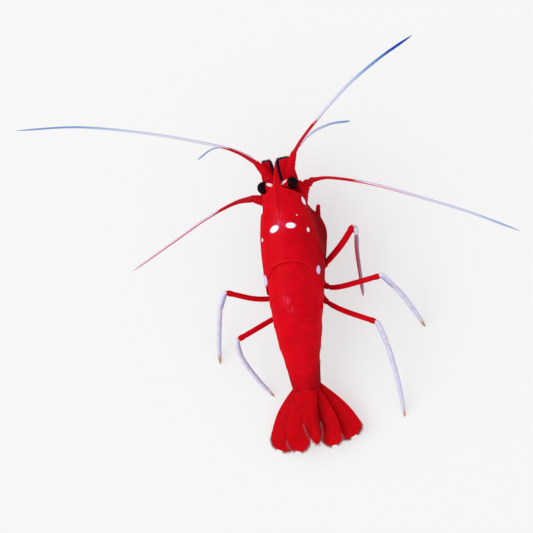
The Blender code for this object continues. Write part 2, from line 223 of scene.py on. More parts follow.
# %% [markdown]
# ## Pores and hair pits
# Up close the shell isn't smooth: it is dimpled with tiny pits where sensory hairs stand, about
# a quarter of a millimetre apart, over very gentle waves. Distance to the nearest of many scattered
# points makes the pits, and a soft noise makes the waves. The result is a height for a bump.

# %% The pits
pits, entry, leave = start_effect("hair pits", {"Point": ORIGIN, "Spacing": 0.3, "Waves": 0.5}, ["Height"])
dots = scattered(pits, entry["Point"], calc(pits, "DIVIDE", 1.0, entry["Spacing"]), 0.9)
hollow = ease(pits, dots, 0.0, 0.32)
wave = calc(pits, "MULTIPLY", soft_noise(pits, entry["Point"], 1.1), entry["Waves"])
pits.links.new(calc(pits, "ADD", calc(pits, "MULTIPLY", hollow, 0.25), wave), leave["Height"])

# %% [markdown]
# ## White spots
# The spots are ovals with a crisp but not ruled edge and a thin violet halo where the white thins
# out over red. Each is placed by its middle, its three half-lengths and a turn about the upright.
# A little noise pushes the edge in and out. The output is a mask for the white and one for the
# halo, so a material can lay several of them over each other.

# %% One white spot
spot, entry, leave = start_effect(
    "white spot", {"Point": ORIGIN, "Middle": ORIGIN, "Reach": (1.0, 1.0, 1.0), "Turn": 0.0,
                   "Ragged": 0.05}, ["White", "Halo"])
apart = vector_calc(spot, "SUBTRACT", entry["Point"], entry["Middle"])
turned = add(spot, "ShaderNodeVectorRotate", {"Vector": apart, "Angle": entry["Turn"]},
             rotation_type="Z_AXIS").outputs[0]
reach = share_of_reach(spot, turned, entry["Reach"])
push = sway(spot, soft_noise(spot, entry["Point"], 2.6), entry["Ragged"])
ragged = calc(spot, "ADD", reach, calc(spot, "MULTIPLY", push, 2.0))
spot.links.new(ease(spot, ragged, 1.0, 0.86), leave["White"])
spot.links.new(ease(spot, ragged, 1.22, 0.98), leave["Halo"])

# %% [markdown]
# ## Rings along a limb
# A feeler is a chain of tiny rings. The rings are cut into the mesh, and this group gives the seam
# between them, which a finish makes darker and a little lower. It comes from a number stored on
# the mesh that counts the rings along the feeler.

# %% The ring seams
rings, entry, leave = start_effect("ring seams", {"Count": 0.0, "Width": 0.25}, ["Seam"])
part_of_ring = calc(rings, "FRACT", entry["Count"])
from_seam = calc(rings, "ABSOLUTE", calc(rings, "SUBTRACT", part_of_ring, 0.5))
seam_start = calc(rings, "SUBTRACT", 0.5, entry["Width"])
rings.links.new(ease(rings, from_seam, seam_start, 0.5), leave["Seam"])

# %% [markdown]
# ## Thin edges
# A shell plate is thinnest at its margin, where less pigment lies behind each bit of surface, so
# margins look a shade brighter. Each plate stores a number called `edge`, one on the margin and
# zero inside. The group softens it and breaks it up with a noise.

# %% The edge effect
margin, entry, leave = start_effect("thin edge", {"Edge": 0.0, "Point": ORIGIN, "Break": 0.4}, ["Mask"])
broken = sway(margin, soft_noise(margin, entry["Point"], 1.7), entry["Break"])
margin.links.new(ease(margin, calc(margin, "ADD", entry["Edge"], broken), 0.35, 0.95), leave["Mask"])
print("shared effects:", len(bpy.data.node_groups))

# %% [markdown]
# ## Starting a finish
# Every finish has the same start, a Principled shader and the surface point in millimetres, and
# the same end: a colour, a roughness and a bump are wired to the shader. Numbers that are the same
# all over, such as the coat, are set straight on it.

# %% Start a finish
def start_finish(name, coat=0.0, coat_roughness=0.1, specular=0.5):
    finish = bpy.data.materials.new(name)
    finish.use_nodes = True
    tree = finish.node_tree
    shader = tree.nodes["Principled BSDF"]
    shader.inputs["Coat Weight"].default_value = coat
    shader.inputs["Coat Roughness"].default_value = coat_roughness
    shader.inputs["Specular IOR Level"].default_value = specular
    place = add(tree, "ShaderNodeTexCoord").outputs["Object"]
    point = add(tree, "ShaderNodeVectorMath", {0: place, "Scale": 1 / MM}, operation="SCALE").outputs[0]
    return finish, tree, shader, point


def wire(tree, shader, colour, roughness, height, depth):
    """Join a finish's colour, roughness and height to its shader. depth is the bump in millimetres."""
    bump = add(tree, "ShaderNodeBump", {"Height": height, "Strength": 1.0, "Distance": depth * MM})
    tree.links.new(colour, shader.inputs["Base Color"])
    tree.links.new(roughness, shader.inputs["Roughness"])
    tree.links.new(bump.outputs["Normal"], shader.inputs["Normal"])

print("finish helpers ready")

# %% [markdown]
# ## Patches on the red
# Three patches come on top of the red in places. A painted shade is a soft darker patch where
# shade falls, a painted sheen is a pink highlight broken into short streaks that run fore and aft,
# and the brush band is the nearly black stripe along the inner and front edges of a head scale,
# where its hairs stand dense.

# %% Patches that a red finish can carry
def near_to(tree, point, middle, reach, most=1.0):
    """`most` at the middle, easing to nothing at the reach."""
    apart = vector_calc(tree, "SUBTRACT", point, tuple(OFFSET + middle))
    return ease(tree, share_of_reach(tree, apart, reach), 0.1, 1.0, most, 0.0)


# Painted sheen: a pink highlight patch, broken into streaks that run fore and aft.
def painted_sheen(tree, point, middle, reach):
    near = near_to(tree, point, middle, reach)
    streaks = soft_noise(tree, vector_calc(tree, "MULTIPLY", point, (2.6, 0.9, 1.0)), 1.0, 3.0)
    return calc(tree, "MULTIPLY", near, ease(tree, streaks, 0.32, 0.72))


def brush_band(tree, pigment, colour):
    ragged = sway(tree, pigment["Cloud"], 0.12)
    inner = ease(tree, calc(tree, "ADD", stored(tree, "from_inner"), ragged), 0.50, 0.38)
    front = ease(tree, calc(tree, "ADD", stored(tree, "from_front"), ragged), 0.20, 0.10)
    return lay(tree, colour, (0.016, 0.002, 0.014), calc(tree, "MAXIMUM", inner, front))


print("patches ready")

# %% [markdown]
# ## Red shell
# The shell's colour is a strong red that deepens in the clouds, with finer dark pepper, and painted
# shade darkens it low on the flanks. The same network serves the back, the abdomen, the tail fan and
# the red limbs, each with its own reds, so it is a function that returns the finish. Painted shades,
# a pink painted sheen and white spots are laid on top, one after another.

# %% The red finish
BRIGHT_RED, BLOOD_RED, DARK_RED = (0.72, 0.0012, 0.010), (0.50, 0.001, 0.005), (0.20, 0.0005, 0.002)
THIN_RED, PAINTED_SHEEN = (0.82, 0.012, 0.016), (0.78, 0.06, 0.15)
SPOT_WHITE, SPOT_MAUVE, SPOT_VIOLET = (0.93, 0.95, 0.97), (0.68, 0.66, 0.93), (0.52, 0.16, 0.42)


def red_finish(name, spots=(), bright=BRIGHT_RED, deep=BLOOD_RED, rough=0.40, low=None, band=None,
               painted_sheens=(), rim=0.45, painted_shades=()):
    """Red shell. low = (height, height): painted shade low on the flanks, full below the first height and
    none above the second.
    """
    finish, tree, shader, point = start_finish(name, coat=0.07, coat_roughness=0.30, specular=0.0)
    pigment = use(tree, clouds, Point=point, Size=2.2)
    colour = lay(tree, bright, deep, pigment["Cloud"], 0.45)
    colour = lay(tree, colour, DARK_RED, pigment["Pepper"], 0.22)
    # Painted shade: darker low on the flanks, by height.
    if low:
        up = add(tree, "ShaderNodeSeparateXYZ", {0: point}).outputs["Z"]
        colour = lay(tree, colour, DARK_RED, ease(tree, up, *low, 0.88, 0.0))
    thin = use(tree, margin, Edge=stored(tree, "edge"), Point=point)["Mask"]
    colour = lay(tree, colour, THIN_RED, thin, rim)
    roughness = ease(tree, pigment["Cloud"], 0.0, 1.0, rough - 0.05, rough + 0.07)
    # Painted shade: soft darker patches where shade falls.
    for middle, reach, most in painted_shades:
        colour = lay(tree, colour, DARK_RED, near_to(tree, point, middle, reach, most))
    # Painted sheen: pink highlight streaks.
    for middle, reach in painted_sheens:
        colour = lay(tree, colour, PAINTED_SHEEN, painted_sheen(tree, point, middle, reach), 0.6)
    if band:
        colour = band(tree, pigment, colour)
    for middle, reach, turn in spots:
        mark = use(tree, spot, Point=point, Middle=tuple(OFFSET + middle), Reach=reach,
                   Turn=math.radians(turn))
        colour = lay(tree, colour, SPOT_VIOLET, mark["Halo"], 0.75)
        colour = lay(tree, colour, SPOT_WHITE if middle[1] > 0 else SPOT_MAUVE, mark["White"])
    height = use(tree, pits, Point=point, Spacing=0.28, Waves=0.4)["Height"]
    wire(tree, shader, colour, roughness, height, 0.035)
    return finish


print("red finish ready")

# %% [markdown]
# ## Where the marks lie
# The carapace has eight white spots and a dot: a pair behind the eyes, with the dot near the right
# one, the large pair on the back, a small pair beside it, and a mauve pair in the rear corners.
# A white bar crosses each eyestalk. Painted shade lies as a thin shadow along the keel and beak,
# over the right flank of the carapace, along the telson's right edge and over the middle of the
# fan, and a pink painted sheen lies on the back. Every mark is a middle and three half-lengths.
# A spot adds its turn in degrees, and a painted shade how dark it gets.

# %% Place the marks and make the red finishes
CARAPACE_SPOTS = [
    ((-3.60, 11.0, 12.50), (0.52, 0.85, 0.98), 0),
    ((3.72, 11.5, 11.6), (1.0, 0.75, 0.60), 0),
    ((2.9, 9.23, 14.3), (0.085, 0.11, 0.5), 0),
    ((-1.16, 7.45, 15.4), (0.95, 0.54, 1.2), -24),
    ((1.78, 7.64, 15.2), (0.86, 0.50, 1.2), 10),
    ((-3.98, 5.93, 13.6), (0.32, 0.34, 0.27), 0),
    ((4.25, 6.46, 13.25), (0.36, 0.43, 0.27), 20),
    ((-4.85, -1.05, 12.5), (0.80, 1.00, 0.80), 0),
    ((4.62, -0.6, 12.13), (1.0, 0.72, 0.52), 24),
]
STALK_BARS = [
    ((-1.31, 15.04, 12.9), (0.72, 0.27, 0.9), 26),
    ((1.17, 15.12, 12.9), (0.76, 0.24, 0.9), -31),
]
# Painted sheen: pink highlight on the back of the carapace and of the abdomen.
CARAPACE_PAINTED_SHEENS = [((0.0, 8.6, 15.4), (1.5, 2.6, 3.0))]
PLATE_PAINTED_SHEENS = [((-1.1, -4.9, 15.2), (1.0, 1.4, 2.0)), ((-0.6, -6.6, 15.2), (0.9, 0.8, 2.0))]
# Painted shade: a thin shadow along the keel and beak, and shade over the right flank of the carapace.
CARAPACE_PAINTED_SHADES = [((0.13, 12.4, 15.0), (0.22, 5.0, 4.0), 0.44), ((4.4, 3.6, 13.6), (2.5, 7.5, 8.0), 0.24)]
# Painted shade: along the telson's right edge and over the middle of the fan.
FAN_PAINTED_SHADES = [((-1.25, -26.5, 4.6), (1.4, 5.5, 4.0), 0.60), ((-3.6, -28.5, 4.6), (0.8, 2.6, 4.0), 0.45)]
LIMB_RED = (0.66, 0.001, 0.010)
# `low` paints shade low on the flanks of the carapace and the abdomen plates.
carapace_red = red_finish("carapace_red", CARAPACE_SPOTS, low=(8.0, 14.2), painted_sheens=CARAPACE_PAINTED_SHEENS,
                          painted_shades=CARAPACE_PAINTED_SHADES)
plate_red = red_finish("plate_red", low=(5.0, 10.5), painted_sheens=PLATE_PAINTED_SHEENS)
fan_red = red_finish("fan_red", bright=(0.60, 0.001, 0.006), deep=(0.42, 0.001, 0.003), rough=0.44, rim=0.08,
                     painted_shades=FAN_PAINTED_SHADES)
limb_red = red_finish("limb_red", bright=LIMB_RED, rough=0.38)
scale_red = red_finish("scale_red", bright=LIMB_RED, rough=0.38, band=brush_band)
stalk_red = red_finish("stalk_red", STALK_BARS, rough=0.34)
print("red finishes:", len(bpy.data.materials))

# %% [markdown]
# ## Soft red underside
# Between the legs the shell is thin and the flesh shows through: softer, duller, more orange, with
# no coat. It is the part nobody paints well on a model, so it gets its own clouds and a rougher
# surface.

# %% The flesh finish
flesh_red, tree, shader, point = start_finish("flesh_red", specular=0.3)
pigment = use(tree, clouds, Point=point, Size=1.1)
flesh = lay(tree, (0.44, 0.02, 0.012), (0.26, 0.004, 0.006), pigment["Cloud"])
flesh = lay(tree, flesh, DARK_RED, pigment["Pepper"], 0.3)
dull = ease(tree, pigment["Cloud"], 0.0, 1.0, 0.5, 0.62)
wire(tree, shader, flesh, dull, use(tree, pits, Point=point, Spacing=0.2, Waves=0.6)["Height"], 0.04)
print("flesh finish made")

# %% [markdown]
# ## Porcelain legs
# Beyond the knee the legs are white, as if dipped: a faintly violet white, cream where two joints
# meet, and bone brown at the very tip of the claw. Painted shade turns their sides violet and their
# underside bluer. The third right leg is mauve with a red stripe along its left side, and the claws
# of the fourth pair are tan. `along` runs from zero at the body end of each piece to one at the far
# end, and `upper` is one on top and minus one below, so both can steer the colour.

# %% The white finish
LEG_WHITE, LEG_VIOLET, LEG_SHADE_BLUE = (0.77, 0.76, 0.92), (0.48, 0.44, 0.70), (0.26, 0.29, 0.64)
CREAM, BONE = (0.80, 0.62, 0.36), (0.50, 0.25, 0.13)


def white_finish(name, tip=(2.0, 3.0), joint=0.5, white=LEG_WHITE, rim=LEG_VIOLET, low=LEG_SHADE_BLUE,
                 stripe=None):
    """tip = the shares of the piece between which the bone colour fades in: from 2 on, it has none.
    stripe = (x, slope, colour): a colour on the left of the line that starts at x beside the hips."""
    finish, tree, shader, point = start_finish(name, coat=0.1, coat_roughness=0.12, specular=0.3)
    pigment = use(tree, clouds, Point=point, Size=1.0)
    colour = lay(tree, white, rim, pigment["Cloud"], 0.4)
    # Painted shade: the sides turn violet and the underside bluer, by how the surface faces up.
    colour = lay(tree, colour, rim, ease(tree, stored(tree, "upper"), 0.85, 0.25))
    colour = lay(tree, colour, low, ease(tree, stored(tree, "upper"), 0.3, -0.7, 0.0, 0.85))
    from_middle = calc(tree, "ABSOLUTE", calc(tree, "SUBTRACT", stored(tree, "along"), 0.5))
    colour = lay(tree, colour, CREAM, ease(tree, from_middle, 0.40, 0.52, 0.0, joint))
    ragged = calc(tree, "ADD", stored(tree, "along"), calc(tree, "MULTIPLY", pigment["Pepper"], 0.05))
    colour = lay(tree, colour, BONE, ease(tree, ragged, *tip))
    if stripe:
        start, slope, stripe_colour = stripe
        apart = add(tree, "ShaderNodeSeparateXYZ",
                    {0: vector_calc(tree, "SUBTRACT", point, tuple(OFFSET + (start, 0, 0)))}).outputs
        across = calc(tree, "SUBTRACT", apart["X"], calc(tree, "MULTIPLY", apart["Y"], slope))
        colour = lay(tree, stripe_colour, colour, ease(tree, across, -0.14, 0.12))
    roughness = ease(tree, pigment["Cloud"], 0.0, 1.0, 0.26, 0.38)
    height = use(tree, pits, Point=point, Spacing=0.22, Waves=0.3)["Height"]
    wire(tree, shader, colour, roughness, height, 0.02)
    return finish


leg_white = white_finish("leg_white")
leg_mauve = white_finish("leg_mauve", joint=0.0, white=(0.33, 0.21, 0.38), rim=(0.24, 0.13, 0.27),
                         low=(0.22, 0.10, 0.24), stripe=(10.27, 0.25, (0.50, 0.035, 0.050)))
claw_white = white_finish("claw_white", tip=(0.22, 0.85), joint=0.0)
claw_tan = white_finish("claw_tan", tip=(-0.25, 0.55), joint=0.0)
print("white finishes made")

# %% [markdown]
# ## Feelers from red to violet white
# A feeler starts red and fades to a violet white over a few millimetres. The fade is slanted: the
# red reaches further along the lower side, and on the side feelers a pink runs on below it, while
# the white over it on the upper side is painted highlight. Across every feeler a painted highlight
# keeps the top white and painted shade turns the sides violet. Some way out the feeler turns blue,
# each in its own measure. Every ring has a slightly darker seam.
# `reach` runs from zero at the root of the whole feeler to one at its end, even where the feeler
# is made as two pieces, so the colours meet without a step.

# %% The feeler finish
FEELER_WHITE, FEELER_SHADE_VIOLET, FEELER_CYAN = (0.78, 0.76, 0.90), (0.42, 0.28, 0.58), (0.40, 0.58, 0.84)
FEELER_BLUE, FEELER_DEEP, FEELER_RED = (0.08, 0.22, 0.56), (0.010, 0.045, 0.46), (0.56, 0.002, 0.012)


def feeler_finish(name, red_to=None, pink_to=None, cyan=(0.35, 0.6), blue=(0.55, 0.85), deep=(0.9, 1.0),
                  strong=1.0):
    """Each pair holds the shares of the feeler between which that colour fades in. red_to and pink_to
    are where the red of the root and the pink of the lower side fade out."""
    finish, tree, shader, point = start_finish(name, coat=0.08, coat_roughness=0.2, specular=0.03)
    reach, upper, behind = (stored(tree, label) for label in ("reach", "upper", "behind"))
    pigment = use(tree, clouds, Point=point, Size=1.6)
    # Painted highlight and shade across the feeler: white on top, violet on the sides and below.
    colour = lay(tree, FEELER_WHITE, FEELER_SHADE_VIOLET, ease(tree, upper, 0.95, 0.30))
    for over, shares, most in ((FEELER_CYAN, cyan, 0.6), (FEELER_BLUE, blue, 0.9), (FEELER_DEEP, deep, 1.0)):
        colour = lay(tree, colour, over, ease(tree, reach, *shares, 0.0, most * strong))
    # The pink lies on the lower and rear side only, so the white above it is painted highlight.
    if pink_to:
        lower_side = calc(tree, "SUBTRACT", calc(tree, "MULTIPLY", behind, 0.8),
                          calc(tree, "MULTIPLY", upper, 0.45))
        pink = calc(tree, "MULTIPLY", ease(tree, lower_side, -0.58, -0.04),
                    ease(tree, reach, *pink_to, 0.95, 0.0))
        colour = lay(tree, colour, (0.78, 0.02, 0.07), pink)
    if red_to:
        slant = calc(tree, "MULTIPLY", behind, -0.03)
        spread = sway(tree, pigment["Cloud"], 0.02)
        at = calc(tree, "ADD", calc(tree, "ADD", reach, slant), spread)
        colour = lay(tree, FEELER_RED, colour, ease(tree, at, *red_to))
    seam = use(tree, rings, Count=stored(tree, "ring"), Width=0.16)["Seam"]
    colour = lay(tree, colour, (0.16, 0.02, 0.07), seam, 0.22)
    roughness = ease(tree, seam, 0.0, 1.0, 0.36, 0.55)
    height = calc(tree, "SUBTRACT", use(tree, pits, Point=point, Spacing=0.18, Waves=0.3)["Height"], seam)
    wire(tree, shader, colour, roughness, height, 0.012)
    return finish


FEELERS = {
    "antennule_long_left": feeler_finish("antennule_left_feeler", (0.13, 0.17), blue=(0.50, 0.80),
                                         deep=(1.05, 1.2), strong=0.85),
    "antennule_long_right": feeler_finish("antennule_right_feeler", (0.22, 0.27), blue=(0.52, 0.80),
                                          deep=(0.76, 0.88)),
    "antenna_left": feeler_finish("antenna_left_feeler", (0.27, 0.32), (0.45, 2.0), cyan=(0.4, 1.0),
                                  blue=(0.90, 1.1), deep=(1.1, 1.2), strong=0.35),
    "antenna_right": feeler_finish("antenna_right_feeler", (0.24, 0.32), (0.30, 0.66), blue=(0.74, 1.0),
                                   deep=(1.05, 1.2), strong=0.6),
    "antennule_short": feeler_finish("branch_feeler", cyan=(0.2, 0.6), blue=(0.35, 1.1), deep=(1.05, 1.2)),
}
print("feeler finishes made")

# %% [markdown]
# ## Hairs
# The hairs that fringe the head scales are almost black, those of the tail a dusky red, those on
# the mouth, the swimming legs and the red limbs a lighter red, and those on the shins and the short
# feelers pale. A hair is lighter towards its point, which `along` gives, and no two are quite
# alike, which a noise gives.

# %% The hair finishes
def hair_finish(name, root, tip):
    finish, tree, shader, point = start_finish(name, specular=0.35)
    uneven = soft_noise(tree, point, 3.0, 1.0)
    shade = calc(tree, "ADD", stored(tree, "along"), calc(tree, "SUBTRACT", uneven, 0.5))
    colour = lay(tree, root, tip, ease(tree, shade, 0.0, 1.0))
    wire(tree, shader, colour, ease(tree, uneven, 0.3, 0.7, 0.42, 0.58), uneven, 0.01)
    return finish


dark_hair = hair_finish("dark_hair", (0.014, 0.002, 0.012), (0.035, 0.006, 0.050))
tail_hair = hair_finish("tail_hair", (0.32, 0.02, 0.035), (0.42, 0.18, 0.20))
pale_hair = hair_finish("pale_hair", (0.45, 0.22, 0.16), (0.70, 0.58, 0.50))
red_hair = hair_finish("red_hair", (0.40, 0.01, 0.012), (0.55, 0.12, 0.08))
print("hair finishes made")

# %% [markdown]
# ## The black cornea
# A shrimp's eye is a ball of thousands of tiny facets under a wet, clear skin. It looks black with
# a brown cast. The facets are far too small to model one by one, so cells a fourteenth of a
# millimetre across are raised by a bump, and a thin, very smooth coat gives the wet glint.

# %% The eye finish
FACETS_PER_MM = 14.0
cornea_black, tree, shader, point = start_finish("cornea_black", coat=0.10, coat_roughness=0.03,
                                                 specular=0.0)
dome = ease(tree, scattered(tree, point, FACETS_PER_MM, 0.25), 0.0, 0.6, 1.0, 0.0)
pigment = use(tree, clouds, Point=point, Size=0.7)
brown = lay(tree, (0.0030, 0.0004, 0.0008), (0.014, 0.0016, 0.0024), pigment["Cloud"])
brown = lay(tree, brown, (0.020, 0.003, 0.005), dome, 0.25)
wire(tree, shader, brown, ease(tree, dome, 0.0, 1.0, 0.24, 0.16), dome, 0.004)
print("finishes:", len(bpy.data.materials))

# %% [markdown]
# ## Making a piece
# Every piece goes the same way: its points and faces are turned into a mesh, its faces are made to
# look outwards, numbers that a finish needs are stored on its points, it is given its finish, and
# the plain parts that it stands for are hidden. One function does it, so that no piece can be left
# half done.

# %% Make a piece
PIECES = []


def make_piece(name, points, faces, finish, stands_for, numbers=None, wall=0.0):
    """wall = thickness in millimetres that an open sheet is given on its inner side."""
    mesh = bpy.data.meshes.new(name)
    mesh.from_pydata(((np.asarray(points) + OFFSET) * MM).tolist(), [], faces)
    for label, values in (numbers or {}).items():
        kept = mesh.attributes.new(label, "FLOAT", "POINT")
        kept.data.foreach_set("value", np.asarray(values, np.float32).ravel())
    turn = bmesh.new()
    turn.from_mesh(mesh)
    bmesh.ops.recalc_face_normals(turn, faces=turn.faces)
    turn.to_mesh(mesh)
    turn.free()
    mesh.shade_smooth()
    mesh.materials.append(finish)
    made = bpy.data.objects.new(name, mesh)
    bpy.context.scene.collection.objects.link(made)
    if wall:
        shell = made.modifiers.new("wall", "SOLIDIFY")
        shell.thickness, shell.offset = wall * MM, -1
    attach(made, "root")
    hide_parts(*([stands_for] if isinstance(stands_for, str) else stands_for))
    PIECES.append(made)
    return made


print("piece maker ready")

# %% [markdown]
# ## Skinning a grid of points
# Most pieces are a grid: rows of points along the piece, each row a ring or an arch across it.
# `skin` lists the four-sided faces that join neighbouring rows. When the rows are rings, the last
# point joins the first, and a face closes each end. `make_grid` makes the piece and spreads the
# numbers for its finish over the grid.

# %% Join rows of points into faces
def skin(rows, columns, ringed):
    across = columns if ringed else columns - 1
    faces = []
    for r in range(rows - 1):
        for c in range(across):
            n = (c + 1) % columns
            faces.append((r * columns + c, r * columns + n, (r + 1) * columns + n, (r + 1) * columns + c))
    if ringed:
        faces.append(tuple(range(columns)))
        faces.append(tuple(reversed(range((rows - 1) * columns, rows * columns))))
    return faces


def make_grid(name, grid, ringed, finish, stands_for, slot, wall=0.0, **numbers):
    rows, columns = grid.shape[:2]
    numbers = {"edge": 0.0, "along": 0.0, **numbers}
    spread = {label: np.broadcast_to(values, (rows, columns)) for label, values in numbers.items()}
    return make_piece(name, grid.reshape(-1, 3), skin(rows, columns, ringed), finish, stands_for,
                      spread, wall)


print("grid maker ready")

# %% [markdown]
# ## Smooth lines through a few points
# A limb is drawn by a handful of points. The curve through them is the one a bent wire takes, and
# it is measured along and cut into even steps, so that rings and hairs end up evenly spaced.

# %% A smooth, evenly cut line
def lengthened(points):
    """The points with one more at each end, straight on."""
    return np.vstack([2 * points[0] - points[1], points, 2 * points[-1] - points[-2]])


def curve_through(a, b, c, d, t):
    """The stretch from b to c of a smooth curve through four points, at shares t."""
    return 0.5 * (2 * b + (c - a) * t + (2 * a - 5 * b + 4 * c - d) * t * t
                  + (3 * b - 3 * c + d - a) * t ** 3)


def run_along(line):
    """How far along the line each of its points lies."""
    return np.r_[0, np.cumsum(np.linalg.norm(np.diff(line, axis=0), axis=1))]


def cut_evenly(line, count):
    run = run_along(line)
    even = np.linspace(0, run[-1], count)
    return np.stack([np.interp(even, run, line[:, k]) for k in range(3)], axis=1)


def smooth_line(points, count):
    points = np.array(points, float)
    ends = lengthened(points)
    t = np.linspace(0, 1, 24, endpoint=False)[:, None]
    fine = [curve_through(*four, t) for four in zip(ends, ends[1:], ends[2:], ends[3:])]
    return cut_evenly(np.vstack([*fine, points[-1:]]), count)


def unit(vectors):
    vectors = np.asarray(vectors, float)
    return vectors / np.maximum(np.linalg.norm(vectors, axis=-1, keepdims=True), 1e-9)


def directions(line):
    return unit(np.gradient(line, axis=0))


def squarish(wave, power):
    """Raised to a power but with its sign kept. A power below 1 gives a ring flatter sides."""
    return np.sign(wave) * np.abs(wave) ** power


print("line helpers ready")

# %% [markdown]
# ## Rods: the limbs of the animal
# A limb segment is a ring swept along a line, thick or thin as a function says, flatter than it is
# wide if asked, and with a rounded end. Turning the ring smoothly from step to step keeps it from
# twisting. The ring's own shape can be cut into, which makes the rings of the feelers.

# %% Sweep a ring along a line
ROUND_END = ((0.35, 0.94), (0.65, 0.76), (0.88, 0.48), (0.97, 0.22))


def rod_points(line, width, sides, tall, relief, round_end):
    """width(u) is the half width from u = 0 to 1. relief(u, angle) scales it. Returns rings, u, angles."""
    ways = directions(line)
    side = np.cross(ways[0], (0.0, 0.0, 1.0))
    side = unit(side if np.linalg.norm(side) > 0.05 else np.cross(ways[0], (0.0, 1.0, 0.0)))
    u = np.linspace(0, 1, len(line))
    radius = np.array([width(x) for x in u], float)
    frames = []
    for way in ways:
        side = unit(side - way * (side @ way))
        frames.append((way, side, np.cross(side, way)))
    rows = list(zip(line, frames, radius, u))
    for out, share in ROUND_END:
        rows.insert(0, (line[0] - ways[0] * radius[0] * out, frames[0], radius[0] * share, 0.0))
        if round_end:
            rows.append((line[-1] + ways[-1] * radius[-1] * out, frames[-1], radius[-1] * share, 1.0))
    angle = np.linspace(0, math.tau, sides, endpoint=False)
    grid = np.zeros((len(rows), sides, 3))
    for k, (centre, (way, across, up), r, at) in enumerate(rows):
        scale = np.ones(sides) if relief is None else relief(at, angle)
        ring = np.outer(np.cos(angle) * scale * r, across) + np.outer(np.sin(angle) * scale * r * tall, up)
        grid[k] = centre + ring
    return grid, np.array([row[3] for row in rows]), angle


def rod(name, line, width, finish, stands_for, slot, sides=16, tall=1.0, relief=None, round_end=True,
        reach=(0.0, 1.0), ring_count=0.0):
    """reach and ring_count go to the feelers' finish: where on the feeler it lies, and its rings."""
    grid, u, angle = rod_points(line, width, sides, tall, relief, round_end)
    u = u[:, None]
    behind = unit(grid.mean(axis=1, keepdims=True) - grid)[..., 1]
    return make_grid(name, grid, True, finish, stands_for, slot, along=u, upper=np.sin(angle), behind=behind,
                     reach=reach[0] + (reach[1] - reach[0]) * u, ring=ring_count * u)


print("rods ready")

# %% [markdown]
# ## Hairs as solid spikes
# Hairs and spines are real mesh, so they show from every side and survive in any program. Each is
# three-sided, tapers to a point and bends a little. All the hairs of one fringe are built in one
# go with arrays and become one piece.

# %% Build many spikes at once
OFF_AXIS, SEED = (0.31, 0.17, 0.94), 11


def spikes(roots, ways, lengths, thick, droop=0.1):
    """Points, faces and along-values of spikes that stand on roots and point along ways."""
    roots, ways = np.asarray(roots, float), unit(ways)
    count = len(roots)
    lengths = np.broadcast_to(lengths, count)[:, None]
    thick = np.broadcast_to(thick, count)[:, None]
    side = unit(np.cross(ways, OFF_AXIS))
    other = np.cross(ways, side)
    sag = np.array([0.0, 0.0, -droop])
    points = np.zeros((count, 10, 3))
    for row, (share, size) in enumerate(((-0.08, 1.0), (0.35, 0.8), (0.72, 0.45))):
        centre = roots + ways * lengths * share + sag * lengths * max(share, 0) ** 2
        for k in range(3):
            a = math.tau * k / 3
            points[:, row * 3 + k] = centre + (side * math.cos(a) + other * math.sin(a)) * thick * size
    points[:, 9] = roots + ways * lengths + sag * lengths
    pattern = [(2, 1, 0)]
    for row in (0, 3):
        pattern += [(row + k, row + (k + 1) % 3, row + 3 + (k + 1) % 3, row + 3 + k) for k in range(3)]
    pattern += [(6 + k, 6 + (k + 1) % 3, 9) for k in range(3)]
    faces = [tuple(10 * n + v for v in face) for n in range(count) for face in pattern]
    along = np.tile([0, 0, 0, 0.35, 0.35, 0.35, 0.72, 0.72, 0.72, 1.0], count)
    return points.reshape(-1, 3), faces, along


def hairs(name, roots, ways, lengths, thick, finish, stands_for, slot, droop=0.1):
    points, faces, along = spikes(roots, ways, lengths, thick, droop)
    return make_piece(name, points, faces, finish, stands_for, {"along": along})


dice = np.random.default_rng(SEED)
print("hair makers ready")

# %% [markdown]
# ## The wall of the body
# Cut across, the body is an arch: round over the back, then falling straight or curving in to a
# lower margin. The arch changes along the animal, so it is given at a few stations, each with its
# ridge (forward, up), the tilt of the cut, its height, its half width, and the lower margin's
# width as a share of that. `station` reads a smooth curve through them at any place, and `wall`
# gives the point of the arch at any step round it: 0 on the ridge, 1 at the widest, 2 at the
# lower margin, minus to the left.

# %% Stations and the arch
HEAD_STATIONS = np.array([
    (14.3, 14.3, 30, 8.0, 3.5, 1.0), (11.6, 14.9, 30, 9.6, 4.5, 1.22), (8.2, 15.4, 29, 10.5, 5.15, 0.98),
    (4.6, 15.6, 28, 10.3, 5.4, 0.80), (1.5, 15.4, 27, 9.7, 5.15, 0.76),
    (-1.6, 15.2, 26, 9.1, 4.92, 0.74)], float)
TAIL_STATIONS = np.array([
    (1.2, 15.25, 27, 9.3, 4.95, 0.80), (-0.4, 15.4, 21, 9.2, 4.8, 0.82), (-3.2, 15.3, 25, 8.9, 4.6, 0.82),
    (-8.3, 14.4, 5, 7.9, 4.2, 0.82), (-13.0, 12.4, -8, 6.7, 3.7, 0.82), (-16.2, 10.6, -14, 5.6, 3.05, 0.82),
    (-20.9, 8.0, -15, 4.2, 2.5, 0.82)], float)
WIDEST_LEVEL = 0.58
LEAN_START, LEAN_RUN, LEAN = 4.0, 30.0, 2.75


def ramp(x, start, long):
    """0 up to start, then rising evenly to 1 over the next stretch."""
    return np.clip((x - start) / long, 0, 1)


def bell(x, middle, spread):
    return np.exp(-((np.asarray(x, float) - middle) / spread) ** 2)


def lean(y):
    """Sideways place of the mid-line: straight under the head, then swinging to the left."""
    run = np.clip((LEAN_START - np.asarray(y, float)) / LEAN_RUN, 0, 1)
    return -LEAN * (1 - np.cos(np.pi * run)) / 2


def station(stations, t):
    """Smooth reading of the stations at place t, which counts them from 0."""
    t = np.asarray(t, float)
    padded = lengthened(stations)
    i = np.clip(np.floor(t), 0, len(stations) - 2).astype(int)
    return curve_through(*(padded[i + k] for k in range(4)), (t - i)[..., None])


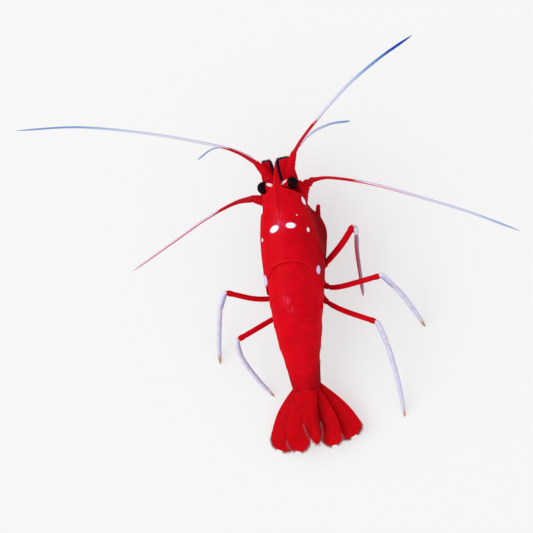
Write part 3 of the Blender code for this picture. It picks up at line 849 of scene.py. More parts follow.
def wall(stations, t, step, swell=1.0, drop=0.0):
    """Points of the arch. swell scales it about the ridge, and drop lengthens its sides."""
    y, z, tilt, height, half, low = np.moveaxis(station(stations, t), -1, 0)
    round_part = np.minimum(np.abs(step), 1.0)
    straight = np.maximum(np.abs(step) - 1.0, 0.0)
    down = WIDEST_LEVEL * (1 - np.cos(np.pi / 2 * round_part)) + (1 - WIDEST_LEVEL) * straight
    across = np.sin(np.pi / 2 * round_part) + (low - 1) * straight ** 2
    tilt = np.radians(tilt)
    down = down * height * (1 + drop) * swell + (1 - swell) * height * 0.45
    at_y = y - down * np.sin(tilt)
    return np.stack([lean(at_y) + np.sign(step) * half * across * swell, at_y, z - down * np.cos(tilt)], -1)


def outward(grid):
    """Directions that point out of an arched grid whose rows run from head to tail."""
    along, across = np.gradient(grid, axis=0), np.gradient(grid, axis=1)
    return unit(np.cross(along, across))


def uneven_shell(grid, finer):
    """The gentle unevenness of grown shell, about -1 to 1, at each point of a grid."""
    return np.array([[noise.noise(Vector(p) * finer) for p in row] for row in grid])


ARCH = np.linspace(-2, 2, 185)[None, :]
print("arch points:", ARCH.size)

# %% [markdown]
# ## The edges of the carapace
# One shield covers head and chest. Its front edge is what makes it a shrimp: it runs out to the
# beak on the mid-line, scoops back behind each eye, throws a small sharp spine under the eye, and
# is rounded off at its lower corner. The rear edge reaches further back on the flanks than on the
# ridge. The grid's first and last rows follow the two edges, and the rows between are spread
# evenly.

# %% Draw the shield's edges
along = np.linspace(0, 1, 150)[:, None]
side_way = np.abs(ARCH)
front_edge = (0.04 * bell(side_way, 0.52, 0.16) - 0.34 * bell(side_way, 0.0, 0.16)
              - 0.30 * bell(side_way, 0.97, 0.045) + 0.14 * bell(side_way, 1.35, 0.25)
              + 0.34 * ramp(side_way, 1.7, 0.3) ** 2)
rear_edge = (3.96 + 0.54 * ramp(side_way, 0.25, 0.75) ** 1.5 - 0.42 * ramp(side_way, 1.2, 0.8) ** 2
             + 0.33 * bell(side_way, 0.86, 0.36) + 0.15 * bell(ARCH, -0.80, 0.45))
place = front_edge + (rear_edge - front_edge) * along
shield = wall(HEAD_STATIONS, place, ARCH)
print("shield grid:", shield.shape[:2])

# %% [markdown]
# ## The relief of the carapace
# Then the surface is lifted along its own outward direction: a keel behind the beak, a bead along
# the edges, a groove behind the jaws and a line over the gills, a full cheek and lower corner, a
# slight swelling of the left flank, and the faint unevenness that any grown shell has.

# %% Raise the relief and build the carapace
keel = (0.20 * bell(ARCH, 0, 0.11) * np.clip((1.45 - place) / 1.45, 0, 1) ** 1.3
        - 0.05 * bell(ARCH, 0.055, 0.02) * bell(place, 0.6, 0.9))
corner = 0.42 * bell(side_way, 1.75, 0.30) * bell(place, 0.58, 0.27)
left_swell = 0.28 * bell(ARCH, -1.0, 0.40) * bell(place, 4.2, 0.8)
end_beads = 0.10 * bell(along, 0.012, 0.012) + 0.04 * bell(along, 1.0, 0.012)
low_bead = 0.10 * bell(side_way, 1.97, 0.035)
jaw_groove = -0.16 * bell(side_way, 1.02 + 0.25 * (place - 1.1), 0.07) * bell(place, 1.1, 0.45)
gill_line = -0.07 * bell(side_way, 0.86, 0.06) * bell(place, 2.8, 0.9)
cheek = 0.16 * bell(side_way, 0.78, 0.16) * bell(place, 0.25, 0.35)
uneven = 0.05 * uneven_shell(shield, 0.45)
lift = keel + corner + left_swell + end_beads + low_bead + jaw_groove + gill_line + cheek + uneven
shield = shield + outward(shield) * lift[..., None]
from_edge = np.minimum(np.minimum(along * 15, (1 - along) * 15), (2 - side_way) * 5)
make_grid("carapace_shield", shield, False, carapace_red, "carapace", "body_shell", wall=0.20,
          edge=np.clip(1 - from_edge / 0.8, 0, 1), along=along)
print("carapace faces:", len(PIECES[-1].data.polygons))

# %% [markdown]
# ## The beak
# The rostrum is a blade with forward-leaning teeth, six above and three below. It is broad and
# deep where it grows from the keel and drawn out to a point. An oval ring is swept along its
# slightly arched crest, and each tooth is a spike set into the edge.

# %% Build the beak
BEAK_BACK, BEAK_TIP = np.array((12.4, 14.55)), np.array((18.95, 13.25))
BEAK_DEPTH, BEAK_HALF_THICK, BEAK_BEND = 1.6, 1.15, 0.27
share = np.linspace(0, 1, 60)
crest = BEAK_BACK + np.outer(share, BEAK_TIP - BEAK_BACK)
crest[:, 1] += 0.10 * np.sin(np.pi * share)
depth = BEAK_DEPTH * (1 - share) ** 0.75 + 0.07
thick = BEAK_HALF_THICK * (1 - share) + 0.03
turn = np.linspace(0, math.tau, 16, endpoint=False)
beak = np.zeros((60, 16, 3))
beak[..., 0] = (BEAK_BEND * share ** 2)[:, None] + np.outer(thick, squarish(np.cos(turn), 0.8))
beak[..., 1] = crest[:, 0, None]
beak[..., 2] = crest[:, 1, None] - depth[:, None] / 2 + np.outer(depth / 2, np.sin(turn))
upper_teeth = (crest[:, 1], -0.10, (0.26, 0.38, 0.50, 0.62, 0.74, 0.86))
lower_teeth = (crest[:, 1] - depth, 0.10, (0.55, 0.70, 0.84))
roots = [(BEAK_BEND * t * t, np.interp(t, share, crest[:, 0]), np.interp(t, share, edge) + inward)
         for edge, inward, places in (upper_teeth, lower_teeth) for t in places]
ways = [(0, 0.86, 0.42)] * 6 + [(0, 0.88, -0.45)] * 3
teeth, teeth_faces, teeth_along = spikes(roots, ways, [0.80, 0.80, 0.75, 0.70, 0.60, 0.50, 0.55, 0.5, 0.45],
                                         [0.16] * 4 + [0.12] * 5, 0.0)
base = beak.reshape(-1, 3)
faces = skin(60, 16, True) + [tuple(v + len(base) for v in face) for face in teeth_faces]
edge = np.r_[np.zeros(len(base)), teeth_along]
make_piece("beak", np.vstack([base, teeth]), faces, carapace_red, "carapace",
           {"edge": edge, "along": edge})
print("beak teeth:", len(roots))

# %% [markdown]
# ## What the shield covers
# Under the carapace lies the chest itself. It is seen at the gap in front, between the legs and
# below the rear edge. A slightly smaller arch, closed below and at both ends, fills the shell, and
# a second body underneath carries the legs: the breastplate, with a raised bar across it for every
# pair of legs. `loft` makes such a closed body from its top, bottom and half width at a few
# places, and makes the telson too.

# %% Build the chest and the breastplate
def loft(stations, rows, columns, wide_power, high_power, swell=1.0):
    """A closed body along the mid-line. A station is (forward, top, bottom, half width)."""
    y, top, bottom, half = station(stations, np.linspace(0, len(stations) - 1, rows)).T
    turn = np.linspace(0, math.tau, columns, endpoint=False)
    body = np.zeros((rows, columns, 3))
    body[..., 0] = lean(y)[:, None] + np.outer(half * swell, squarish(np.cos(turn), wide_power))
    body[..., 1] = y[:, None]
    body[..., 2] = ((top + bottom) / 2)[:, None] + np.outer((top - bottom) / 2 * swell,
                                                           squarish(np.sin(turn), high_power))
    return body, turn, y, top, bottom, half


UNDERSIDE = ("thorax_underside", "underside")
t = np.linspace(-0.22, 4.35, 60)[:, None]
shrink = np.minimum(1, 0.62 + 1.6 * np.minimum(t + 0.23, 4.42 - t)) * 0.90
chest = wall(HEAD_STATIONS, np.minimum(t, 4.0), np.linspace(-1.70, 1.70, 49)[None, :], swell=shrink)
chest[..., 1] += np.minimum(0, 4.0 - t) * 1.5
make_grid("chest", chest, True, flesh_red, *UNDERSIDE, along=t)
BREAST = np.array([
    (13.0, 7.5, 6.6, 0.7), (11.9, 7.5, 5.8, 1.1), (10.2, 6.9, 5.0, 1.5), (7.0, 6.6, 4.5, 2.1),
    (3.0, 6.5, 4.1, 2.3), (-0.5, 6.6, 4.2, 2.2), (-2.8, 6.7, 4.5, 1.9), (-5.0, 7.2, 6.1, 1.0)], float)
breast, turn, y = loft(BREAST, 120, 40, 0.6, 0.6)[:3]
bars = sum(bell(y, bar, 0.42) for bar in (8.6, 5.9, 3.2, 0.4, -2.2))[:, None]
below = np.clip(-np.sin(turn), 0, 1)
breast[..., 2] -= bars * below * 0.22
breast[..., 2] += 0.18 * (bell(breast[..., 0] - lean(y)[:, None], 0, 0.25) * below)
make_grid("breastplate", breast, True, flesh_red, *UNDERSIDE, edge=bars * below)
print("chest and breastplate built")

# %% [markdown]
# ## The plates of the abdomen
# Six arched plates run down the back, each sliding under the one in front, so the animal can curl.
# Their side lobes hang down past the belly. The second plate is the mark of this tribe of shrimps:
# its lobes lie over both neighbours. The third is humped. All six are cut from one smooth body
# wall. For each, the grid runs from a hidden front lip to a raised, beaded rear edge, and towards
# the lower margin the rows are drawn together, which rounds the lobe.

# %% Build the abdomen plates
LOBES = {1: (0.95, 0.35), 2: (1.42, 0.55), 3: (1.04, 0.5), 4: (1.0, 0.5), 5: (0.95, 0.45), 6: (0.9, 0.2)}
PLATE_BOW = (0.10, 0.15, 0.18, 0.23, 0.29, 0.26, 0.18)


def plate_rows(number, u):
    """Place along the body, and share across the sheet, of every point of a plate. u = 0 front, 1 rear."""
    lobe_width, lobe_round = LOBES[number]
    length = math.dist(TAIL_STATIONS[number - 1][:2], TAIL_STATIONS[number][:2])
    front_lip, rear_lip = min(0.5 / length, 0.3), 0.22 / length
    start = -front_lip + (front_lip + 0.03) * np.clip(lower * 2.5, 0, 1)
    end = 1 + rear_lip - rear_lip * 0.6 * lower
    spread = (1 + (lobe_width - 1) * lower) * np.sqrt(
        np.clip(1 - (lower * 0.985) ** 5 * lobe_round * 1.8, 0.02, 1))
    t = number - 1 + ((start + end) / 2 - 0.03 * lower) + (end - start) * (u - 0.5) * spread
    t = t + np.interp(t, np.arange(7), PLATE_BOW) * np.minimum(side_way, 1.25) ** 2
    return t, start + (end - start) * u, front_lip


def plate_relief(number, u, t, sheet, front_lip):
    """How far each point is lifted: tucked under in front, raised behind, creased, beaded and humped."""
    tuck = -0.13 * np.clip(1 - (sheet + front_lip) / (front_lip + 0.10), 0, 1) ** 0.7
    tuck = tuck * np.clip(1.6 - side_way, 0, 1)
    over = 0.035 * ramp(u, 0.7, 0.3) ** 1.5 + 0.05 * lower * np.clip(u * 2 - 1, 0, 1)
    if number == 1:
        over = over - 0.16 * np.clip(1 - t / 1.1, 0, 1) * np.clip(side_way, 0.3, 1)
    if number == 2:
        over = over + 0.15 * lower
    bead = (0.012 * bell(u, 0.985, 0.012) + 0.06 * bell(side_way, 1.97, 0.03)
            + 0.04 * bell(u, 0.02, 0.02) * lower)
    crease = -0.03 * bell(sheet, 0.24, 0.022) * np.clip(1.25 - side_way, 0, 1)
    hump = 0.20 * bell(u, 0.62, 0.25) * bell(ARCH, 0, 0.5) if number == 3 else 0.0
    return tuck + over + bead + crease + hump


lower = ramp(side_way, 0.95, 1.05)
for number in range(1, 7):
    last = number == 6
    u = np.linspace(0, 1, 90 if last else 64)[:, None]
    t, sheet, front_lip = plate_rows(number, u)
    u_body = np.clip(t - (number - 1), 0, 1)
    drop = 0.10 * (4 * u_body * (1 - u_body) - 1) * (0.2 if last else 0.6)
    plate = wall(TAIL_STATIONS, t, ARCH, drop=drop)
    uneven = np.repeat(np.repeat(uneven_shell(plate[::2, ::2], 0.5), 2, 0), 2, 1)
    uneven = uneven[:plate.shape[0], :plate.shape[1]]
    lift = plate_relief(number, u, t, sheet, front_lip) + 0.02 * uneven
    plate = plate + outward(plate) * lift[..., None]
    edge = np.maximum(np.clip(1 - (1 - u) * 16, 0, 1), np.clip(1 - (2 - side_way) * 6, 0, 1))
    make_grid(f"abdomen_plate_{number}", plate, False, plate_red, f"abdomen_{number}", "body_shell",
              wall=0.16, edge=edge, along=u)
print("abdomen plates:", len(LOBES))

# %% [markdown]
# ## The flesh of the abdomen
# The plates are arches, open below. Inside runs the muscle, closed by a soft skin with a firm bar
# across it between each pair of swimming legs. It is one long body, a little smaller than the
# arches, with the bars raised on its lower side.

# %% Build the belly
t = np.linspace(-0.25, 5.98, 150)[:, None]
inner = np.linspace(-1.52, 1.52, 56)[None, :]
belly = wall(TAIL_STATIONS, t, inner, swell=0.90)
bars = sum(bell(t, bar, 0.10) for bar in (0.5, 1.5, 2.5, 3.5, 4.5, 5.4)) * ramp(np.abs(inner), 1.25, 0.27)
belly[..., 2] -= 0.30 * bars
make_grid("belly", belly, True, flesh_red, [f"abdomen_{n}" for n in LOBES], "underside", edge=bars, along=t)
sixth_under = wall(TAIL_STATIONS, np.linspace(5.02, 5.99, 30)[:, None], np.linspace(-1.9, 1.9, 40)[None, :],
                   swell=0.96)
make_grid("sixth_ring_underside", sixth_under, True, plate_red, "abdomen_6", "body_shell")
print("belly built")

# %% [markdown]
# ## Leaves for the tail and the paddles
# Tail fan, head scales and swimming paddles are all thin leaves. A flat lens-shaped ring is swept
# from root to tip. Its half width is given for the outer and the inner side apart, because most
# leaves are straighter outside. Ribs stand up along it, and camber lets its margins hang.

# %% A leaf
def rounded(base, widest, full_at, tip, power=2.0):
    """Half width of a leaf: widens from base to widest at full_at, then rounds off to tip."""
    def half(u):
        u = np.asarray(u, float)
        grow = base + (widest - base) * np.sin(np.pi / 2 * np.clip(u / full_at, 0, 1))
        fall = ramp(u, full_at, 1 - full_at)
        shrink = tip + (widest - tip) * np.maximum(1 - fall ** power, 0) ** (1 / power)
        return np.where(u < full_at, grow, shrink)
    return half


def leaf_shape(root, tip, across, camber, thick, outer, inner=None):
    """outer and inner hold what `rounded` needs. Without inner, both sides are alike."""
    root, axis = np.array(root, float), np.array(tip, float) - np.array(root, float)
    way = unit(axis)
    side = unit(np.array(across, float) - way * (np.array(across, float) @ way))
    return {"root": root, "length": np.linalg.norm(axis), "way": way, "side": side,
            "normal": np.cross(side, way), "camber": camber, "thick": thick,
            "outer": rounded(*outer), "inner": rounded(*(inner or outer))}


def leaf_half(shape, u, w):
    return np.where(w > 0, shape["outer"](u), shape["inner"](u))


def leaf_place(shape, u, w):
    """The middle of the leaf's thickness at share u of its length and w from -1 inner to 1 outer."""
    u, w = np.asarray(u, float), np.asarray(w, float)
    sag = shape["camber"] * w * w * np.sin(np.pi * np.clip(u, 0, 1))
    return shape["root"] + np.multiply.outer(u * shape["length"], shape["way"]) \
        + np.multiply.outer(w * leaf_half(shape, u, w), shape["side"]) \
        - np.multiply.outer(sag, shape["normal"])


def leaf(name, shape, finish, stands_for, slot, ribs=(), cross_line=None, rows=70, sides=56):
    """ribs = (w, height, width). cross_line = share of the length where a seam runs across."""
    u = (1 - (1 - np.linspace(0, 1, rows)) ** 1.7)[:, None]
    turn = np.linspace(0, math.tau, sides, endpoint=False)[None, :]
    w, face_side = np.cos(turn), np.sin(turn)
    uu, ww = np.broadcast_arrays(u, w)
    taper = np.sqrt(np.clip(1 - ramp(u, 0.9, 0.1) ** 2, 0.03, 1)) * (1 - 0.45 * u)
    height = shape["thick"] / 2 * face_side * taper
    for at, tall, broad in ribs:
        height = height + tall * bell(w, at, broad) * np.sign(face_side) * np.sin(
            np.pi * np.clip(u * 0.85 + 0.12, 0, 1)) * (np.abs(face_side) > 0.08)
    if cross_line:
        height = height - 0.05 * bell(u, cross_line + 0.05 * w, 0.012) * (face_side > 0.05)
    grid = leaf_place(shape, uu, ww) + height[..., None] * shape["normal"]
    edge = np.clip(np.maximum(np.abs(w) ** 6, ramp(u, 0.88, 0.12)), 0, 1)
    return make_grid(name, grid, True, finish, stands_for, slot, edge=edge, along=u, upper=face_side,
                     behind=0.0, from_inner=(1 + w) * leaf_half(shape, u, w),
                     from_front=(1 - u) * shape["length"])


print("leaf maker ready")

# %% [markdown]
# ## Hairs on the margin of a leaf
# The arithmetic that makes a leaf also gives any point of its margin, so that hairs can be set
# exactly on the edge. They are spaced evenly along it, lean towards the tip, and are shorter at
# both ends of their stretch.

# %% A fringe of hairs
def fringe(name, shape, stretches, spacing, long, thick, finish, stands_for, slot, droop=0.08):
    """Each stretch is (side w, from u, to u)."""
    roots, ways, sizes = [], [], []
    for w, first, last in stretches:
        fine = np.linspace(first, last, 400)
        run = run_along(leaf_place(shape, fine, np.full(400, w)))
        count = max(3, int(run[-1] / spacing))
        spot_u = np.interp(np.linspace(0, run[-1], count), run, fine)
        place = leaf_place(shape, spot_u, np.full(count, w))
        out_way = np.cross(directions(place), shape["normal"]) * np.sign(w)
        out_way = out_way * np.sign((out_way @ shape["side"]) * np.sign(w) + 1e-6)[:, None]
        lean_back = unit(out_way + 0.55 * shape["way"] + dice.normal(0, 0.07, (count, 3)))
        roots.append(place - lean_back * 0.05)
        ways.append(lean_back)
        share = np.linspace(0, 1, count)
        sizes.append(long * (0.8 + 0.4 * dice.random(count))
                     * np.minimum(1, 0.35 + 3 * np.minimum(share, 1.15 - share)))
    return hairs(name, np.vstack(roots), np.vstack(ways), np.concatenate(sizes), thick, finish, stands_for,
                 slot, droop)


print("fringe maker ready")

# %% [markdown]
# ## The telson
# The middle of the tail fan is the telson, a narrow wedge with a shallow furrow. It has two pairs
# of little spines on its back, more at its tip, and hairs round its rear half.

# %% Build the telson
TELSON = np.array([(-21.0, 7.85, 6.25, 2.0), (-23.3, 7.0, 5.6, 1.75), (-25.7, 6.1, 4.9, 1.45),
                   (-28.2, 5.1, 4.2, 1.25), (-30.6, 4.15, 3.55, 0.50)], float)
end_round = np.sqrt(np.clip(1 - ramp(np.linspace(0, 1, 80), 0.93, 0.07) ** 2, 0.02, 1))
telson, turn, y, top, bottom, half = loft(TELSON, 80, 40, 1.0, 0.8, end_round)
flat_cos = np.cos(turn)
telson[..., 2] += np.clip(np.sin(turn), 0, 1) * (-0.16 * bell(flat_cos, 0, 0.28)
                                                + 0.07 * bell(np.abs(flat_cos), 0.5, 0.16))
make_grid("telson_blade", telson, True, fan_red, "telson", "tail_fan", edge=np.abs(flat_cos) ** 8)
spine_roots, spine_ways = [], []
for at_y in (-25.2, -27.7):
    k = np.argmin(np.abs(y - at_y))
    for sign in SIDES.values():
        spine_roots.append((lean(at_y) + sign * half[k] * 0.75, at_y, top[k] - 0.12))
        spine_ways.append((sign * 0.12, -0.9, 0.12))
for x, tilt in ((-0.38, -0.35), (0.38, 0.35), (-0.2, -0.1), (0.2, 0.1), (0.0, 0.0)):
    spine_roots.append((lean(-30.4) + x, -30.35, 3.85))
    spine_ways.append((tilt, -1.0, -0.35))
hairs("telson_spines", spine_roots, spine_ways, [0.55] * 4 + [0.75, 0.75, 0.95, 0.95, 0.8],
      [0.085] * 4 + [0.06] * 5, fan_red, "telson", "tail_fan", 0.02)
tip_x = np.linspace(-0.45, 0.45, 15)
hair_roots = [(lean(-30.5) + x, -30.45, 3.8) for x in tip_x]
hair_ways = [(x * 0.9, -1.0, -0.3) for x in tip_x]
for sign in SIDES.values():
    for at_y in np.linspace(-26.5, -30.3, 44):
        k = np.argmin(np.abs(y - at_y))
        hair_roots.append((lean(at_y) + sign * half[k] * 0.97, at_y, (top[k] + bottom[k]) / 2))
        hair_ways.append((sign * 0.75, -0.8, -0.15))
hairs("telson_hairs", hair_roots, hair_ways, 0.55 + 0.25 * dice.random(len(hair_roots)), 0.032, tail_hair,
      "telson", "tail_fan")
print("telson spines:", len(spine_roots))

# %% [markdown]
# ## The leaves of the tail fan
# Two leaves stand on each side of the telson. Each outer leaf has a strong outer rib, a seam across
# its last third and two spines where that seam meets the rib. Each inner leaf is an oval with a rib
# down the middle. Dusky red hairs fill the notches between them.

# %% Build the four leaves of the fan
FAN_Y = -21.0
FAN_X = float(lean(FAN_Y))
FAN = {
    "endopod_right": ((FAN_X + 1.1, FAN_Y, 5.6), (-0.15, -31.3, 2.9), (1.0, 2.35, 0.62),
                      (0.9, 1.95, 0.60), 1),
    "endopod_left": ((FAN_X - 1.1, FAN_Y, 5.6), (-6.6, -31.5, 2.9), (1.0, 2.35, 0.62),
                     (0.9, 2.20, 0.60), -1),
    "exopod_right": ((FAN_X + 1.6, FAN_Y + 0.5, 4.6), (3.3, -30.3, 1.8), (0.9, 2.75, 0.72),
                     (0.9, 2.9, 0.60), 1),
    "exopod_left": ((FAN_X - 1.6, FAN_Y + 0.5, 4.6), (-10.2, -30.9, 1.8), (0.9, 2.55, 0.60),
                    (0.9, 2.8, 0.60), -1),
}
for leaf_name, (root, tip, outer, inner, sign) in FAN.items():
    node = f"uropod_{leaf_name}"
    axis = np.array(tip) - np.array(root)
    across = np.array((-axis[1], axis[0], 0.0))
    across = across * np.sign(across[0]) * sign
    outer_leaf = leaf_name.startswith("exopod")
    shape = leaf_shape(root, tip, across, 0.2, 0.5, (*outer, 0.05, 2.8), (*inner, 0.05, 2.3))
    ribs = [(0.0, 0.10, 0.07), (0.86, 0.10, 0.07)] if outer_leaf else [(0.0, 0.11, 0.08), (0.5, 0.05, 0.06)]
    leaf(f"{node}_leaf", shape, fan_red, node, "tail_fan", ribs + [(-0.45, 0.045, 0.06)],
         0.80 if outer_leaf else None)
    fringe(f"{node}_fringe", shape, [(1.0, 0.84, 0.998), (-1.0, 0.80, 0.998)], 0.044, 0.60, 0.036, tail_hair,
           node, "tail_fan")
    if outer_leaf:
        hairs(f"{node}_spines", [leaf_place(shape, 0.79, 0.97), leaf_place(shape, 0.80, 0.9)],
              [axis + across * 0.1, axis], [0.7, 0.6], [0.12, 0.07], fan_red, node, "tail_fan", 0.0)
print("fan leaves:", len(FAN))

# %% [markdown]
# ## The eyes
# Each eye is a black ball on a short red stalk that widens into a cup round its inner side. The
# ball is a little longer fore and aft than it is high, and flattened where the cup holds it. Its
# grid runs from the point that faces outwards to just inside the cup. A low ridge marks where the
# cornea ends, and a tiny bump on the upper side is the extra eye spot these shrimps have.

# %% Build the eyes and their stalks
EYE_HALF = np.array((1.02, 1.07, 1.02))
EYE_AT = {"left": (-2.75, EYES_AHEAD, 12.5), "right": (2.56, EYES_AHEAD + 0.05, 12.5)}
CUP_FROM, RIDGE_AT, SPOT_AT = math.radians(148), math.radians(122), math.radians(88)


def stalk_relief(u, angle):
    rims = 0.05 * bell(u, 0.93, 0.05) - 0.05 * bell(u, 0.8, 0.06)
    return 1 + rims + 0.03 * np.sin(3 * angle + 2)


for side_name, sign in SIDES.items():
    eye = np.array(EYE_AT[side_name])
    dip = np.linspace(0.02, CUP_FROM, 70)[:, None]
    round_ = np.linspace(0, math.tau, 96, endpoint=False)[None, :]
    bulge = 1 + 0.025 * bell(dip, RIDGE_AT, 0.05) - 0.03 * np.clip(dip - 2.2, 0, 1)
    bulge = bulge + 0.05 * bell(dip, SPOT_AT, 0.13) * bell(np.sin(round_ + 0.5), 1, 0.02)
    ball = np.stack([sign * np.cos(dip) * bulge, np.sin(dip) * np.cos(round_) * bulge,
                     np.sin(dip) * np.sin(round_) * bulge], -1) * EYE_HALF + eye
    make_grid(f"cornea_{side_name}", ball, True, cornea_black, f"eye_{side_name}", "eye")
    line = smooth_line([(sign * 0.3, 14.1, 12.0), (sign * 0.95, 14.45, 12.22),
                        eye - (sign * 1.05, 0.05, 0.08), eye - (sign * 0.55, 0, 0)], 40)
    rod(f"eyestalk_{side_name}", line, lambda u: 0.66 + 0.12 * math.sin(math.pi * u) + 0.26 * u ** 2.5,
        stalk_red, "eyestalks", "red_limb", sides=44, tall=0.96, round_end=False, relief=stalk_relief)
bridge = smooth_line([(-1.5, 14.3, 11.7), (0.15, 14.85, 11.9), (1.5, 14.4, 11.7)], 40)
rod("eye_bridge", bridge, lambda u: 0.62 + 0.08 * math.sin(math.pi * u), limb_red, "eyestalks", "red_limb",
    sides=36)
print("eyes at", EYE_AT["left"], EYE_AT["right"])

# %% [markdown]
# ## Short segments with joints
# Stems, antenna roots and legs are all rows of segments. Each is narrow where it starts inside the
# one before, swells, and ends in a raised collar round a socket. `segment` cuts its stretch out of
# the limb's line and makes it. The collar and a long shallow furrow come from the ring's own
# shape.

# %% A limb segment
def stretch(line, start, end, count=26):
    """The part of an evenly cut line from share start to share end, cut evenly again."""
    at = np.linspace(start, end, count) * (len(line) - 1)
    return np.stack([np.interp(at, np.arange(len(line)), line[:, k]) for k in range(3)], axis=1)


def segment(name, line, start_half, end_half, finish, stands_for, slot, tall=1.0, belly=0.12, sides=22,
            collar=0.10, furrow=0.04):
    def half(u):
        neck = 1 - 0.30 * bell(u, 0, 0.09)
        return (start_half + (end_half - start_half) * u + belly * end_half * math.sin(math.pi * u)) * neck

    def shape(u, angle):
        ring = collar * bell(u, 0.965, 0.03) - 0.05 * bell(u, 0.90, 0.025)
        return 1 + ring - furrow * bell(np.sin((angle - 0.4) / 2), 0, 0.12) * math.sin(math.pi * u)

    return rod(name, line, half, finish, stands_for, slot, sides=sides, tall=tall, relief=shape)


def chain(label, side_name, line, joints, node, slot, **looks):
    """A row of red segments. A joint is (start share, end share, half width there and at its end)."""
    for part, (start, end, first, last) in enumerate(joints, start=1):
        segment(f"{label}_{part}_{side_name}", stretch(line, start, end), first, last, limb_red, node, slot,
                **looks)


def spines_on(name, places, ways, long, thick, finish, stands_for, slot):
    return hairs(name, places, ways, long, thick, finish, stands_for, slot, 0.03)


print("segments ready")

# %% [markdown]
# ## The stems of the antennules
# Between and below the eyes two thick three-jointed stems run forward and spread like a V. Each
# carries its feelers at the end, a leaf-like spine at the outside of its root, and small spines at
# the joints. The joints show as collars.

# %% Build the stems
STEM_TIPS = {"right": (3.4, 19.8, 11.8), "left": (-3.4, 19.1, 11.8)}
for side_name, sign in SIDES.items():
    node = (f"antennule_base_{side_name}", "red_limb")
    line = smooth_line([(sign * 1.05, 13.3, 10.6), (1.75 if sign > 0 else -1.9, 16.3, 10.95),
                        STEM_TIPS[side_name]], 120)
    chain("antennule_stem", side_name, line,
          ((0, 0.50, 0.86, 0.84), (0.48, 0.74, 0.76, 0.70), (0.72, 1.0, 0.64, 0.50)), *node,
          tall=0.86, sides=30)
    side_leaf = leaf_shape(line[6] + (sign * 0.55, 0, -0.1), line[6] + (sign * 1.35, 3.0, 0.25),
                           (sign, 0, 0), 0.12, 0.3, (0.3, 0.34, 0.3, 0.02, 1.3))
    leaf(f"antennule_side_spine_{side_name}", side_leaf, limb_red, *node, [(0.0, 0.06, 0.2)], rows=36,
         sides=28)
    joint_places = [line[59] + (sign * 0.55, 0, 0.1), line[59] + (-sign * 0.5, 0.1, 0.2),
                    line[88] + (sign * 0.5, 0, 0.1), line[88] + (-sign * 0.4, 0.1, 0.2)]
    joint_ways = [(sign * 0.4, 1, 0.1), (-sign * 0.2, 1, 0.2)] * 2
    spines_on(f"antennule_spines_{side_name}", joint_places, joint_ways, 0.42, 0.09, limb_red, *node)
print("antennule stems built")

# %% [markdown]
# ## The head scales
# Beside each stem lies a broad scale, a rudder for swimming backwards. Its outer edge is straight
# and thick and ends in a spine. The front and inner edges carry a dense brush of nearly black
# hairs, so dense that it reads as a dark band. The blade itself is thin, with a rib along the
# outer third.

# %% Build the head scales
SCALES = {
    "right": ((1.35, 13.1, 9.1), (1.05, 19.35, 10.4), (1.3, 1.6, 0.35, 0.85, 2.0),
              (1.85, 1.50, 0.55, 0.98, 3.0)),
    "left": ((-1.9, 13.1, 9.1), (-2.25, 19.25, 10.4), (1.1, 1.40, 0.50, 0.50, 1.6),
             (0.9, 1.12, 0.45, 0.84, 2.6)),
}
BRUSH_THICK, FRONT_HAIRS = 0.036, 90
for side_name, (root, tip, outer, inner) in SCALES.items():
    sign = SIDES[side_name]
    node = (f"antennal_scale_{side_name}", "red_limb")
    shape = leaf_shape(root, tip, (sign, 0, 0), 0.10, 0.40, outer, inner)
    leaf(f"head_scale_{side_name}", shape, scale_red, *node,
         [(0.45, 0.10, 0.08), (0.8, 0.10, 0.08), (-0.2, 0.05, 0.1)], rows=90, sides=72)
    fringe(f"head_scale_brush_{side_name}", shape, [(-1.0, 0.12, 0.985), (-0.86, 0.15, 0.97)], 0.034, 0.34,
           BRUSH_THICK, dark_hair, *node, 0.03)
    front_w = np.linspace(-0.95, 0.80, FRONT_HAIRS)
    front_roots = leaf_place(shape, np.full(FRONT_HAIRS, 0.985), front_w)
    front_ways = np.stack([sign * 0.25 * front_w, np.ones(FRONT_HAIRS), np.full(FRONT_HAIRS, 0.12)], 1)
    front_ways = front_ways + dice.normal(0, 0.06, front_ways.shape)
    hairs(f"head_scale_front_brush_{side_name}", front_roots, front_ways,
          0.36 + 0.10 * dice.random(FRONT_HAIRS), BRUSH_THICK, dark_hair, *node, 0.03)
    spines_on(f"head_scale_spine_{side_name}", [leaf_place(shape, 0.95, 0.80)], [(sign * 0.12, 1, 0.15)],
              0.7, 0.15, limb_red, *node)
print("head scales built")

# %% [markdown]
# ## The roots of the antennae
# The long side feelers grow from stout, many-jointed roots below the eyes. The first joint is the
# longest and carries three short spines on its outer half, where the kidney opens. Then come three
# shorter joints that aim the feeler. A smooth cheek lies above each root.

